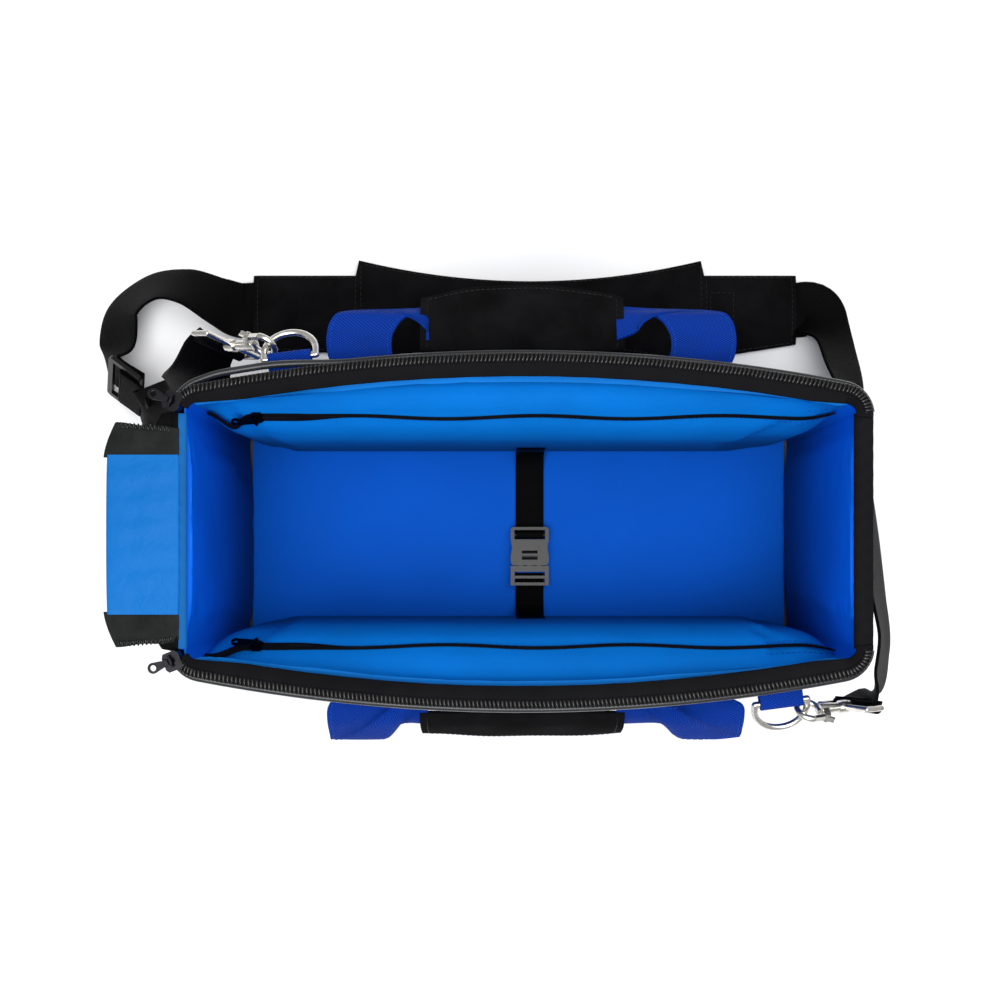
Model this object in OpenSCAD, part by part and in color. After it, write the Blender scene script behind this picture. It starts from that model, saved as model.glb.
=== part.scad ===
// Soft carrying bag with a wide doctor-bag mouth, standing open.
// Millimetres. +X runs along the bag, +Y is its back, +Z is up.
// The origin is the centre of the underside of the base.

/* [Bag body] */
// Length of the flat base
base_len = 500; // [440:1:560]
// Width of the flat base
base_wid = 196; // [180:1:220]
// Length across the open mouth
rim_len = 506; // [460:1:560]
// Width across the open mouth at its middle
rim_wid = 256; // [236:1:280]
// How much each long side of the mouth bows out
rim_bow = 26; // [10:1:34]
// Height of the rim above the ground
rim_h = 240; // [220:1:270]
// Outward belly of the long walls
belly = 4; // [0:0.5:8]
// Radius of the upright corners
corner_r = 22; // [16:1:28]
// Thickness of the outer fabric wall
wall_t = 4; // [3:0.5:6]
// Thickness of the fabric under the base
base_t = 3; // [2:0.5:5]
// Thickness of the stiff board in the base
board_t = 5; // [3:0.5:8]
// Gap left between layers that are sewn together
layer_gap = 0.4; // [0.3:0.1:0.8]

/* [Padding] */
// Thickness of the floor pad at its edge
floor_pad_t = 7; // [5:0.5:10]
// Crown of the floor pad
floor_crown = 3; // [0:0.5:6]
// Thickness of the padded lining on the end walls
end_pad_t = 7; // [5:0.5:9]
// Clear width between the two side pads
pad_space = 148; // [130:1:160]
// Thickness of the side pads at the rim
pad_lip_t = 12; // [9:0.5:16]
// Radius at the ends of the side pads
pad_end_r = 30; // [20:1:40]

/* [Zips] */
// Width of the tape along the rim
tape_w = 20; // [16:1:24]
// Thickness of a zip tape
tape_t = 2.2; // [1.5:0.1:3]
// Drop of the rim tape from its outer to its inner edge
tape_drop = 6; // [3:0.5:9]
// Spacing of the coil turns of the main zip
coil_pitch = 3; // [2.6:0.1:4]
// Length of one coil turn across the tape
coil_w = 5.4; // [4:0.1:7]
// Thickness of the coil wire
coil_wire = 1.5; // [1:0.1:1.8]
// Depth of the pocket zip below the rim
pocket_drop = 50; // [45:1:60]
// Width of the pocket zip tape
pocket_tape_w = 11; // [9:0.5:14]
// Distance of the pocket zip ends from the end walls
pocket_inset = 42; // [40:1:60]
// Length of a pocket zip pull
pocket_pull_len = 19; // [14:0.5:26]
// Length of a main zip pull
main_pull_len = 17; // [15:0.5:26]

/* [Handles] */
// Width of the blue handle webbing
web_w = 48; // [38:1:50]
// Thickness of the handle webbing
web_t = 2.4; // [1.6:0.1:3]
// Distance between the two webbing runs of a handle
handle_span = 248; // [220:1:280]
// Shift of the handles along the bag
handle_shift = 8; // [-10:1:15]
// Height at which the handle webbing leaves the wall
handle_z = 196; // [185:1:205]
// Length of the grip wrap
grip_len = 155; // [130:1:165]
// Shift of the grip along its handle
grip_shift = -7; // [-12:1:12]
// Height of the grip wrap at its middle
grip_h = 56; // [44:1:60]
// Thickness of the folded grip wrap
grip_t = 9; // [6:0.5:12]

/* [Shoulder strap] */
// Width of the shoulder strap webbing
strap_w = 50; // [40:1:50]
// Thickness of the shoulder strap webbing
strap_t = 2.4; // [1.6:0.1:3]
// Length of the whole shoulder pad
spad_len = 492; // [420:1:500]
// Thickness of the shoulder pad
spad_t = 13; // [8:1:16]
// Width of the end panels of the shoulder pad
spad_end_w = 70; // [60:1:80]
// Width of the middle panel at its seams
spad_mid_w = 98; // [84:1:100]
// Width of the middle panel at its waist
spad_waist_w = 60; // [50:1:76]
// Distance of the shoulder pad behind the middle of the bag
spad_y = 200; // [196:1:230]
// Wire of the D-rings and snap hooks
ring_wire = 5; // [4:0.5:5.5]
// Inside width of a D-ring
ring_in = 34; // [30:1:38]

/* [Hold-down strap] */
// Width of the hold-down webbing
hold_w = 25; // [20:1:26]
// Thickness of the hold-down webbing
hold_t = 1.8; // [1.2:0.1:2.4]
// Place of the hold-down strap along the bag
hold_x = 10; // [-60:1:60]
// Place of the buckle across the bag
buckle_y = -20; // [-24:1:20]
// Length of the closed buckle
buckle_len = 52; // [46:1:56]

/* [End flap] */
// Length of the folded-out end flap
flap_len = 52; // [36:1:58]
// Distance of the end flap from the back corner of the mouth
flap_inset = 6.5; // [5:0.1:20]
// Width of each flap trim
flap_trim_w = 22; // [16:1:28]
// Thickness of the flap
flap_t = 6; // [4:0.5:8]

/* [Hidden] */
$fn = 32;
blue_lining = [0.03, 0.42, 0.84];
blue_shell = [0.05, 0.22, 0.62];
blue_web = [0.08, 0.24, 0.78];
black_web = [0.06, 0.06, 0.07];
black_suede = [0.04, 0.04, 0.04];
black_tape = [0.15, 0.15, 0.16];
nickel = [0.75, 0.75, 0.74];
gunmetal = [0.3, 0.3, 0.31];
FRONT = -1;
BACK = 1;
LEFT = -1;
RIGHT = 1;
pocket_z = rim_h - pocket_drop;
// Height from which the side pads lean back
pad_bend_z = pocket_z - 42;

// ---- Plan of the bag at height z ----
function mix(a, b, k) = a + (b - a) * k;
function clip(k) = min(1, max(0, k));
function smooth(k) = clip(k) * clip(k) * (3 - 2 * clip(k));
function half_l(z) = mix(base_len, rim_len, z / rim_h) / 2;
function bow(z) = rim_bow * z / rim_h;
// Half width of the outer face at x and z
function side_y(x, z) =
    mix(base_wid, rim_wid, z / rim_h) / 2
    - bow(z) * pow(x / half_l(z), 2)
    + belly * 4 * (z / rim_h) * (1 - z / rim_h) * (1 - pow(x / half_l(z), 2));
// Turn of the long side where it meets the corner
function tilt(z) = atan(1.85 * bow(z) / half_l(z));
function corner_x(z) = half_l(z) - corner_r + corner_r * sin(tilt(z));
function corner_cx(z) = half_l(z) - corner_r;
function corner_cy(z) = side_y(corner_x(z), z) - corner_r * cos(tilt(z));
// Inner outline at depth d inside the outer face, also round the corner
function inner_y(x, z, d) =
    abs(x) <= corner_x(z)
    ? side_y(x, z) - d
    : corner_cy(z) + sqrt(max(1, pow(corner_r - d, 2) - pow(abs(x) - corner_cx(z), 2)));
function unit(v) = v / norm(v);
function steps(a, b, n) = [for (i = [0 : n]) mix(a, b, i / n)];

// ---- Solid between two grids of points ----
function cell(i, j, m) = i * (m + 1) + j;
module slab(a, b) {
    n = len(a) - 1;
    m = len(a[0]) - 1;
    off = (n + 1) * (m + 1);
    quads = concat(
        [for (i = [0 : n - 1]) for (j = [0 : m - 1])
            [cell(i, j, m), cell(i + 1, j, m), cell(i + 1, j + 1, m), cell(i, j + 1, m)]],
        [for (i = [0 : n - 1]) for (j = [0 : m - 1])
            [off + cell(i, j, m), off + cell(i, j + 1, m),
             off + cell(i + 1, j + 1, m), off + cell(i + 1, j, m)]],
        [for (i = [0 : n - 1])
            [cell(i, 0, m), off + cell(i, 0, m), off + cell(i + 1, 0, m), cell(i + 1, 0, m)]],
        [for (i = [0 : n - 1])
            [cell(i + 1, m, m), off + cell(i + 1, m, m), off + cell(i, m, m), cell(i, m, m)]],
        [for (j = [0 : m - 1])
            [cell(0, j + 1, m), off + cell(0, j + 1, m), off + cell(0, j, m), cell(0, j, m)]],
        [for (j = [0 : m - 1])
            [cell(n, j, m), off + cell(n, j, m), off + cell(n, j + 1, m), cell(n, j + 1, m)]]);
    inward = cross(a[1][0] - a[0][0], a[1][1] - a[0][0]) * (b[0][0] - a[0][0]) > 0;
    polyhedron(
        points = concat([for (r = a) each r], [for (r = b) each r]),
        faces = [for (q = quads) each inward
            ? [[q[0], q[1], q[2]], [q[0], q[2], q[3]]]
            : [[q[2], q[1], q[0]], [q[3], q[2], q[0]]]]);
}

// Ribbon of width w and thickness t along stations [centre, width direction]
module ribbon(stations, w, t) {
    n = len(stations) - 1;
    along = [for (i = [0 : n])
        unit(stations[min(n, i + 1)][0] - stations[max(0, i - 1)][0])];
    face = [for (i = [0 : n]) unit(cross(along[i], stations[i][1]))];
    side = [for (i = [0 : n]) unit(cross(face[i], along[i]))];
    a = [for (i = [0 : n]) [for (k = [-0.5, 0.5])
        stations[i][0] + side[i] * w * k + face[i] * t / 2]];
    b = [for (i = [0 : n]) [for (k = [-0.5, 0.5])
        stations[i][0] + side[i] * w * k - face[i] * t / 2]];
    slab(a, b);
}

// Rounded rectangle plate, inset from the base outline
module base_plate(inset, z, t) {
    l = base_len - 2 * inset;
    w = base_wid - 2 * inset;
    r = corner_r - inset;
    translate([0, 0, z])
        linear_extrude(t)
            union() {
                square([l - 2 * r, w], center = true);
                square([l, w - 2 * r], center = true);
                for (sx = [-1, 1])
                    for (sy = [-1, 1])
                        translate([sx * (l / 2 - r), sy * (w / 2 - r)])
                            circle(r);
            }
}

// ---- Base ----
wall_z0 = base_t;
wall_z1 = rim_h - 5;
floor_z = base_t + board_t;
floor_pad_z = floor_z + layer_gap;
pad_z0 = floor_pad_z + floor_pad_t + layer_gap;
pad_z1 = rim_h - tape_drop - tape_t - 2.4;
module base_cover() {
    color(black_web)
        base_plate(0, 0, base_t);
}
module base_board() {
    color("dimgray")
        base_plate(wall_t + layer_gap, base_t, board_t);
}
// Floor pad: soft slab with a low crown, sewn down round its edge
module floor_pad() {
    fx = half_l(floor_z) - wall_t - 3 * layer_gap - corner_r * 0.35;
    fy = base_wid / 2 - wall_t - 3 * layer_gap - corner_r * 0.35;
    xs = steps(-fx, fx, 16);
    ys = steps(-fy, fy, 8);
    crown = function (x, y) floor_crown
        * (1 - pow(x / fx, 8)) * (1 - pow(y / fy, 4));
    color(blue_lining)
        slab(
            [for (x = xs) [for (y = ys) [x, y, floor_pad_z + floor_pad_t - 2 + crown(x, y)]]],
            [for (x = xs) [for (y = ys) [x, y, floor_pad_z]]]);
}

// ---- Outer walls ----
module long_wall(side) {
    xs = steps(-1, 1, 14);
    zs = steps(wall_z0, wall_z1, 4);
    slab(
        [for (k = xs) [for (z = zs)
            let (x = k * corner_x(z)) [x, side * side_y(x, z), z]]],
        [for (k = xs) [for (z = zs)
            let (x = k * (corner_x(z) - wall_t * sin(tilt(z)))) [x, side * (side_y(x, z) - wall_t), z]]]);
}
module front_wall() {
    color(blue_shell) long_wall(FRONT);
}
module back_wall() {
    color(blue_shell) long_wall(BACK);
}
// End wall: a flat panel whose sides lean out with the corners
module end_wall(side) {
    ks = steps(-1, 1, 4);
    zs = steps(wall_z0, wall_z1, 4);
    slab(
        [for (k = ks) [for (z = zs) [side * half_l(z), k * corner_cy(z), z]]],
        [for (k = ks) [for (z = zs) [side * (half_l(z) - wall_t), k * corner_cy(z), z]]]);
}
module left_wall() {
    color(blue_shell) end_wall(LEFT);
}
module right_wall() {
    color(blue_shell) end_wall(RIGHT);
}
// Upright corner panels of reinforced fabric
module corner_panels() {
    zs = steps(wall_z0, wall_z1, 4);
    joint = 0.6;
    point = function (k, z, d)
        let (a = mix(joint, 90 - tilt(z) - joint, k))
        [corner_cx(z) + (corner_r - d) * cos(a), corner_cy(z) + (corner_r - d) * sin(a), z];
    color(black_suede)
        for (sx = [0, 1])
            for (sy = [0, 1])
                mirror([sx, 0, 0])
                    mirror([0, sy, 0])
                        slab(
                            [for (k = steps(0, 1, 6)) [for (z = zs) point(k, z, 0)]],
                            [for (k = steps(0, 1, 6)) [for (z = zs) point(k, z, wall_t)]]);
}

// ---- Padding ----
pad_depth = wall_t + 2 * layer_gap;
pad_end = pad_depth + end_pad_t + 2 * layer_gap;
// Inner face of a side pad: straight along the bag up to the pocket, then out to the rim
function pad_flat_y(z) =
    pad_space / 2 + 6 * pow(clip((60 - z) / 60), 2) + 0.0085 * pow(max(0, z - pad_bend_z), 2);
function pad_top_k(z) = smooth((z - pocket_z - 12) / (pad_z1 - pocket_z - 12));
function pad_end_k(x, z) =
    let (u = clip((abs(x) - half_l(z) + pad_end + pad_end_r) / pad_end_r))
    sqrt(max(0, 1 - u * u));
function pad_face_y(x, z) =
    let (wall = inner_y(x, z, pad_depth))
    let (face = mix(pad_flat_y(z), wall - pad_lip_t, pad_top_k(z)))
    mix(wall - 4, min(face, wall - 4), pad_end_k(x, z));
// Slope of the pad face at the pocket, as the turn of its outward normal above level
pocket_y = pad_flat_y(pocket_z);
pocket_tilt = atan(2 * 0.0085 * (pocket_z - pad_bend_z));
module side_pad(side) {
    ks = concat(
        [for (i = [0 : 4]) -1 + 0.13 * (1 - cos(i * 22.5))],
        steps(-0.78, 0.78, 10),
        [for (i = [4 : -1 : 0]) 1 - 0.13 * (1 - cos(i * 22.5))]);
    zs = concat(steps(pad_z0, pad_bend_z, 4), steps(pad_bend_z, pad_z1, 6));
    zs_once = [for (i = [0 : len(zs) - 1]) if (i != 5) zs[i]];
    at = function (k, z) k * (half_l(z) - pad_end);
    slab(
        [for (k = ks) [for (z = zs_once)
            let (x = at(k, z)) [x, side * inner_y(x, z, pad_depth), z]]],
        [for (k = ks) [for (z = zs_once)
            let (x = at(k, z)) [x, side * pad_face_y(x, z), z]]]);
}
module front_pad() {
    color(blue_lining) side_pad(FRONT);
}
module back_pad() {
    color(blue_lining) side_pad(BACK);
}
module end_pad(side) {
    ys = steps(-1, 1, 6);
    zs = steps(pad_z0, rim_h - 8, 5);
    room = function (z) corner_cy(z) - layer_gap;
    crown = function (k) 2 * pow(k, 4);
    slab(
        [for (k = ys) [for (z = zs) [side * (half_l(z) - pad_depth), k * room(z), z]]],
        [for (k = ys) [for (z = zs)
            [side * (half_l(z) - pad_depth - end_pad_t + crown(k)), k * room(z), z]]]);
}
module left_pad() {
    color(blue_lining) end_pad(LEFT);
}
module right_pad() {
    color(blue_lining) end_pad(RIGHT);
}

// ---- Rim ----
// Rim outline by run length: round the left corner, along the side, round the right corner
// Angle above the end wall at which the zip ends on each corner
zip_end_left = 26;
zip_end_right = 6;
function rim_arc(a) = corner_r * (90 - tilt(rim_h) - a) * PI / 180;
rim_arc_left = rim_arc(zip_end_left);
rim_side = 2 * corner_x(rim_h);
rim_run = rim_side + rim_arc_left + rim_arc(zip_end_right);
// [x, y, angle of the outward normal] at run s, for the back side
function rim_at(s) =
    s < rim_arc_left
    ? rim_corner(zip_end_left + (s / corner_r) * 180 / PI, LEFT)
    : s <= rim_arc_left + rim_side
    ? rim_long(s - rim_arc_left - rim_side / 2)
    : rim_corner(90 - tilt(rim_h) - ((s - rim_arc_left - rim_side) / corner_r) * 180 / PI, RIGHT);
function rim_corner(a, end) = [
    end * (corner_cx(rim_h) + corner_r * cos(a)),
    corner_cy(rim_h) + corner_r * sin(a),
    end > 0 ? a : 180 - a];
function rim_long(x) =
    let (slope = 2 * rim_bow * x / pow(half_l(rim_h), 2))
    [x, side_y(x, rim_h), 90 - atan(slope)];
// Point at run s, at depth d inside the outline
function rim_point(s, d, z) =
    let (p = rim_at(s))
    [p[0] - d * cos(p[2]), p[1] - d * sin(p[2]), z];
rim_stations = concat(
    steps(0, rim_arc_left, 5),
    [for (i = [1 : 20]) rim_arc_left + rim_side * i / 20],
    [for (i = [1 : 7]) rim_arc_left + rim_side + rim_arc(zip_end_right) * i / 7]);
module on_side(side) {
    if (side > 0) children();
    else mirror([0, 1, 0]) children();
}
// Tape of the main zip, sloping into the bag from the rim edge
module rim_tape(side) {
    lip = function (d) rim_h - tape_drop * pow(d / tape_w, 2);
    color(black_tape)
        on_side(side)
            slab(
                [for (s = rim_stations) [for (d = steps(0, 1, 3))
                    let (w = d * min(tape_w, mix(13, tape_w, clip(min(s, rim_run - s) / 60))))
                    rim_point(s, w, lip(w))]],
                [for (s = rim_stations) [for (d = steps(0, 1, 3))
                    let (w = d * min(tape_w, mix(13, tape_w, clip(min(s, rim_run - s) / 60))))
                    rim_point(s, w, lip(w) - tape_t)]]);
}
module front_rim_tape() {
    rim_tape(FRONT);
}
module back_rim_tape() {
    rim_tape(BACK);
}
// One turn of the coil: two legs across the tape, bent round a head that stands past the edge
coil_out = 2.2;
module coil_turn(s) {
    p = rim_at(s);
    head = coil_wire * 0.62;
    translate([p[0], p[1], rim_h + coil_wire / 2 + 0.12])
        rotate([0, 0, p[2]]) {
            translate([coil_out - coil_w, 0, 0])
                rotate([0, 90, 0])
                    cylinder(h = coil_w, d = coil_wire, $fn = 16);
            translate([coil_out, 0, -coil_wire / 2])
                cylinder(h = coil_wire + 1.1, r = head, $fn = 16);
        }
}
module zip_coil(side) {
    turns = floor((rim_run - 8) / coil_pitch);
    color(black_tape)
        on_side(side)
            for (i = [0 : turns])
                coil_turn(4 + i * coil_pitch);
}
module front_zip_coil() {
    zip_coil(FRONT);
}
module back_zip_coil() {
    zip_coil(BACK);
}

// Flat steel strips that hold the mouth open, inside the rim hem
frame_w = 3;
frame_t = 1.7;
module rim_frames() {
    ss = steps(rim_arc_left + 4, rim_arc_left + rim_side - 4, 24);
    color("silver")
        for (side = [FRONT, BACK])
            on_side(side)
                slab(
                    [for (s = ss) [for (d = [0.6, 0.6 + frame_w])
                        rim_point(s, d, wall_z1 + 0.2 + frame_t)]],
                    [for (s = ss) [for (d = [0.6, 0.6 + frame_w])
                        rim_point(s, d, wall_z1 + 0.2)]]);
}
// Bead of piping round the outside of the rim
piping_d = 5;
module rim_piping() {
    ss = rim_stations;
    zs = steps(-1, 1, 2);
    z_mid = rim_h - 8.5;
    color("dimgray")
        for (side = [FRONT, BACK])
            on_side(side)
                slab(
                    [for (s = ss) [for (k = zs)
                        rim_point(s, -0.8, z_mid + k * 4)]],
                    [for (s = ss) [for (k = zs)
                        rim_point(s, -0.8 - piping_d * (1 - 0.55 * k * k), z_mid + k * 4)]]);
}
// Bound seam along the top of an end wall
seam_y = corner_cy(rim_h) + 1;
seam_in = half_l(rim_h) - pad_depth - end_pad_t;
flap_hinge_x = -(seam_in + 5.4);
module seam_strip(end, outer_x, top) {
    low = rim_h - 7.4;
    slab(
        [for (y = steps(-seam_y, seam_y, 6)) [
            [end * (seam_in - 0.6), y, low + 3.4],
            [end * (seam_in + 3.5), y, top],
            [end * outer_x, y, top]]],
        [for (y = steps(-seam_y, seam_y, 6)) [
            [end * (seam_in - 0.6), y, low + 1],
            [end * (seam_in + 3.5), y, wall_z1 + 0.2],
            [end * outer_x, y, wall_z1 + 0.2]]]);
}
module left_seam_strip() {
    color(blue_lining) seam_strip(LEFT, -flap_hinge_x - 0.4, wall_z1 + 2.2);
}
module right_seam_strip() {
    color(black_tape) seam_strip(RIGHT, half_l(rim_h) + 0.4, wall_z1 + 3.4);
}

// ---- Pocket zips ----
pocket_run = 2 * (half_l(pocket_z) - pocket_inset);
pocket_lift = 0.4;
pocket_tape_t = 1;
slider_len = 10;
slider_wid = 9;
slider_x = -pocket_run / 2 + slider_len;
// Frame on the pocket line: x along the zip, y up the slope, z out of the pad
module on_pocket(side) {
    on_side(side)
        translate([0, pocket_y, pocket_z])
            rotate([90 - pocket_tilt, 0, 0])
                children();
}
module pocket_zip(side) {
    half = pocket_tape_w / 2;
    slot = 0.6;
    color(black_tape)
        on_pocket(side)
            difference() {
                translate([-pocket_run / 2, -half, pocket_lift])
                    cube([pocket_run, 2 * half, pocket_tape_t]);
                translate([-pocket_run / 2 + 4, -slot / 2, pocket_lift - 1])
                    cube([pocket_run - 8, slot, pocket_tape_t + 2]);
            }
}
module front_pocket_zip() {
    pocket_zip(FRONT);
}
module back_pocket_zip() {
    pocket_zip(BACK);
}
// Slider: waisted body with a bail that carries the pull
pocket_slider_z = pocket_lift + pocket_tape_t + 0.15;
bail_wire = 1.8;
module slider_body(l, w, t, bail_h) {
    linear_extrude(t)
        difference() {
            union() {
                square([l - 3, w], center = true);
                square([l, w - 3], center = true);
            }
            for (sy = [-1, 1])
                translate([0, sy * (w / 2 + 2.6)])
                    circle(4);
        }
    for (sx = [-1, 1])
        translate([sx * 3, 0, t - 0.2])
            cylinder(h = bail_h - t + 0.2, d = bail_wire);
    translate([-3 - bail_wire / 2, 0, bail_h])
        rotate([0, 90, 0])
            cylinder(h = 6 + bail_wire, d = bail_wire);
}
pocket_slider_t = 3;
pocket_bail_h = pocket_slider_t + 2.6;
module pocket_slider(side) {
    color(gunmetal)
        on_pocket(side)
            translate([slider_x, 0, pocket_slider_z])
                rotate([0, 0, 90])
                    slider_body(slider_wid, slider_len, pocket_slider_t, pocket_bail_h);
}
module front_pocket_slider() {
    pocket_slider(FRONT);
}
module back_pocket_slider() {
    pocket_slider(BACK);
}
// Tapered pull with a round eye on the bail and a hole at its wide end
pull_t = 1.5;
module pull(l, wide) {
    eye = bail_wire / 2 + 0.35;
    difference() {
        union() {
            translate([0, 0, -pull_t / 2])
                linear_extrude(pull_t)
                    difference() {
                        union() {
                            polygon([
                                [1, -1.7], [l - wide / 2, -wide / 2],
                                [l - wide / 2, wide / 2], [1, 1.7]]);
                            translate([l - wide / 2, 0])
                                circle(wide / 2);
                        }
                        translate([l - wide / 2, 0])
                            circle(wide / 2 - 1.8);
                    }
            rotate([90, 0, 0])
                cylinder(h = 3.4, r = eye + 0.9, center = true);
        }
        rotate([90, 0, 0])
            cylinder(h = 5, r = eye, center = true);
    }
}
module pocket_pull(side) {
    color(gunmetal)
        on_pocket(side)
            translate([slider_x, 0, pocket_slider_z + pocket_bail_h])
                rotate([0, 0, 180])
                    pull(pocket_pull_len, 7);
}
module front_pocket_pull() {
    pocket_pull(FRONT);
}
module back_pocket_pull() {
    pocket_pull(BACK);
}

// ---- Main zip sliders ----
// Frame at a slider: x out of the bag, y along the coil, z up, on the rim edge
slider_turn = 22;
module on_main_slider(side) {
    on_side(side)
        mirror([1, 0, 0])
            translate([
                corner_cx(rim_h) + corner_r * cos(slider_turn),
                corner_cy(rim_h) + corner_r * sin(slider_turn), rim_h])
                rotate([0, 0, slider_turn])
                    children();
}
main_plate_t = 1.6;
main_gap_top = coil_wire + 1.5;
main_bail_h = main_gap_top + main_plate_t + 2.9;
module main_slider(side) {
    low = -tape_t - 0.7 - main_plate_t;
    color(gunmetal)
        on_main_slider(side) {
            difference() {
                translate([0, 0, low])
                    linear_extrude(main_gap_top + main_plate_t - low)
                        polygon([
                            [-6.5, -2.6], [-4.4, -5.6], [4.4, -5.6], [6, -2.6],
                            [6, 6], [4.4, 8.4], [-4.9, 8.4], [-6.5, 6]]);
                translate([-10, 0.9, low + main_plate_t])
                    cube([20, 12, main_gap_top - low - main_plate_t]);
            }
            for (y = [-2.6, 4.6])
                translate([0, y, main_gap_top + main_plate_t - 0.2])
                    cylinder(h = 3.1, d = bail_wire);
            translate([0, -2.6 - bail_wire / 2, main_bail_h])
                rotate([-90, 0, 0])
                    cylinder(h = 7.2 + bail_wire, d = bail_wire);
        }
}
module front_main_slider() {
    main_slider(FRONT);
}
module back_main_slider() {
    main_slider(BACK);
}
module main_pull(side) {
    color(gunmetal)
        on_main_slider(side)
            translate([0, 1, main_bail_h])
                pull(main_pull_len, 8);
}
module front_main_pull() {
    main_pull(FRONT);
}
module back_main_pull() {
    main_pull(BACK);
}

// ---- Handles ----
// Direction along the wall at x, in plan
function wall_dir(x, z, side) = unit([1, -side * 2 * bow(z) * x / pow(half_l(z), 2), 0]);
function run_x(k) = handle_shift + k * handle_span / 2;
run_gap = 0.6;
// The runs lean off the wall at their top, so that the hinge line clears the bowed wall
hinge_out = 1.4;
function run_off(z) = run_gap + web_t / 2 + hinge_out * smooth((z - handle_z + 34) / 30);
module handle_runs(side) {
    color(blue_web)
        for (k = [-1, 1])
            ribbon(
                [for (z = steps(base_t + 4, handle_z - 2.5, 6))
                    [[run_x(k), side * (side_y(run_x(k), z) + run_off(z)), z],
                     wall_dir(run_x(k), z, side)]],
                web_w, web_t);
}
module front_handle_runs() {
    handle_runs(FRONT);
}
module back_handle_runs() {
    handle_runs(BACK);
}
// The loose webbing leaves the hinge line and follows a side profile. Distance c runs
// along that profile; the back handle lies out flat, the front one hangs down.
handle_y = side_y(run_x(1), handle_z) + run_off(handle_z) + 1;
function fall(side, c) = side > 0 ? 16 : 12 + 58 * smooth((c - 8) / 22);
profile_step = 2;
function profile(side, c) =
    c <= 0
    ? [0, 0]
    : let (h = min(profile_step, c), a = fall(side, c - h / 2))
      profile(side, c - h) + h * [cos(a), -sin(a)];
// Point of a handle at x, distance c and height h above the profile
function handle_point(side, x, c, h) =
    let (p = profile(side, c), a = fall(side, c))
    [x, side * (handle_y + p[0] + h * sin(a)), handle_z + p[1] + h * cos(a)];
// Loose webbing: [share of the way to the grip, distance c, width, turn] from wall to grip
web_path = [
    [0, 1, 1, 0], [0, 12, 1, 0], [0.02, 24, 1, 0], [0.12, 32, 0.96, 30],
    [0.4, 37, 0.66, 74], [0.7, 38, 0.58, 90], [1, 38, 0.62, 90]];
grip_in = 14;
function web_reach(k) = handle_span / 2 - k * grip_shift - grip_len / 2 - 0.5;
module handle_web(side) {
    color(blue_web)
        for (k = [-1, 1])
            slab(
                [for (p = web_path) [for (e = [-0.5, 0.5])
                    web_edge(side, k, p, e * web_w * p[2], web_t / 2)]],
                [for (p = web_path) [for (e = [-0.5, 0.5])
                    web_edge(side, k, p, e * web_w * p[2], -web_t / 2)]]);
}
function web_edge(side, k, p, e, h) =
    handle_point(side, run_x(k) - k * (p[0] * web_reach(k) + e * cos(p[3])), p[1] - e * sin(p[3]), h);
module front_handle_web() {
    handle_web(FRONT);
}
module back_handle_web() {
    handle_web(BACK);
}
// Grip: suede wrapped flat round the webbing, with an arched fold along its outer edge
module grip(side) {
    fold = function (u) grip_h * (1 - 0.2 * u * u);
    thick = function (v) grip_t / 2 * sqrt(max(0.04, 1 - pow(2 * v - 1, 4)));
    us = steps(-1, 1, 10);
    vs = [0, 0.08, 0.3, 0.6, 0.88, 1];
    color(black_suede)
        slab(
            [for (u = us) [for (v = vs)
                handle_point(side, handle_shift + grip_shift + u * grip_len / 2,
                    grip_in + v * fold(u), thick(v))]],
            [for (u = us) [for (v = vs)
                handle_point(side, handle_shift + grip_shift + u * grip_len / 2,
                    grip_in + v * fold(u), -thick(v))]]);
}
module front_grip() {
    grip(FRONT);
}
module back_grip() {
    grip(BACK);
}

// ---- D-rings, hooks and the shoulder strap ----
// Rigid frame: origin o, local x along x, local z close to z
module on_frame(o, x, z) {
    ex = unit(x);
    ey = unit(cross(z, ex));
    ez = cross(ex, ey);
    multmatrix([
        [ex[0], ey[0], ez[0], o[0]],
        [ex[1], ey[1], ez[1], o[1]],
        [ex[2], ey[2], ez[2], o[2]]])
        children();
}
tab_w = ring_in - 2;
tab_t = 1.8;
tab_z = rim_h - 40;
tab_out = 15;
tab_rise = 12;
tab_patch = 34;
ring_play = 0.4;
back_tab_x = -170;
front_tab_x = 191;
tab_bore = ring_wire / 2 + ring_play;
// Frame on the outer wall: x along the wall, y out of it, z up
function wall_at(x, side) = [x, side * side_y(x, tab_z), tab_z];
function wall_out(x, side) = cross([0, 0, 1], wall_dir(x, tab_z, side)) * (side > 0 ? 1 : -1);
module on_wall(x, side) {
    on_frame(wall_at(x, side), wall_dir(x, tab_z, side) * (side > 0 ? 1 : -1), [0, 0, 1])
        children();
}
// Webbing tab: patch sewn to the wall and a flat loop round the bar of the ring
module ring_tab(x, side) {
    loop_r = tab_bore + tab_t;
    on_wall(x, side)
        translate([tab_w / 2, 0, 0])
            rotate([90, 0, -90])
                linear_extrude(tab_w)
                    difference() {
                        union() {
                            translate([-1 - tab_t, -tab_patch / 2 + 2])
                                square([tab_t, tab_patch]);
                            translate([-tab_out, tab_rise])
                                circle(loop_r);
                            translate([-tab_out, tab_rise - loop_r])
                                square([tab_out - 1, 2 * loop_r]);
                        }
                        translate([-tab_out, tab_rise])
                            circle(tab_bore);
                        translate([-tab_out, tab_rise - tab_bore])
                            square([tab_out - 1 - tab_t, 2 * tab_bore]);
                    }
}
module ring_tabs() {
    color(blue_web) {
        ring_tab(back_tab_x, BACK);
        ring_tab(front_tab_x, FRONT);
    }
}
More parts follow.
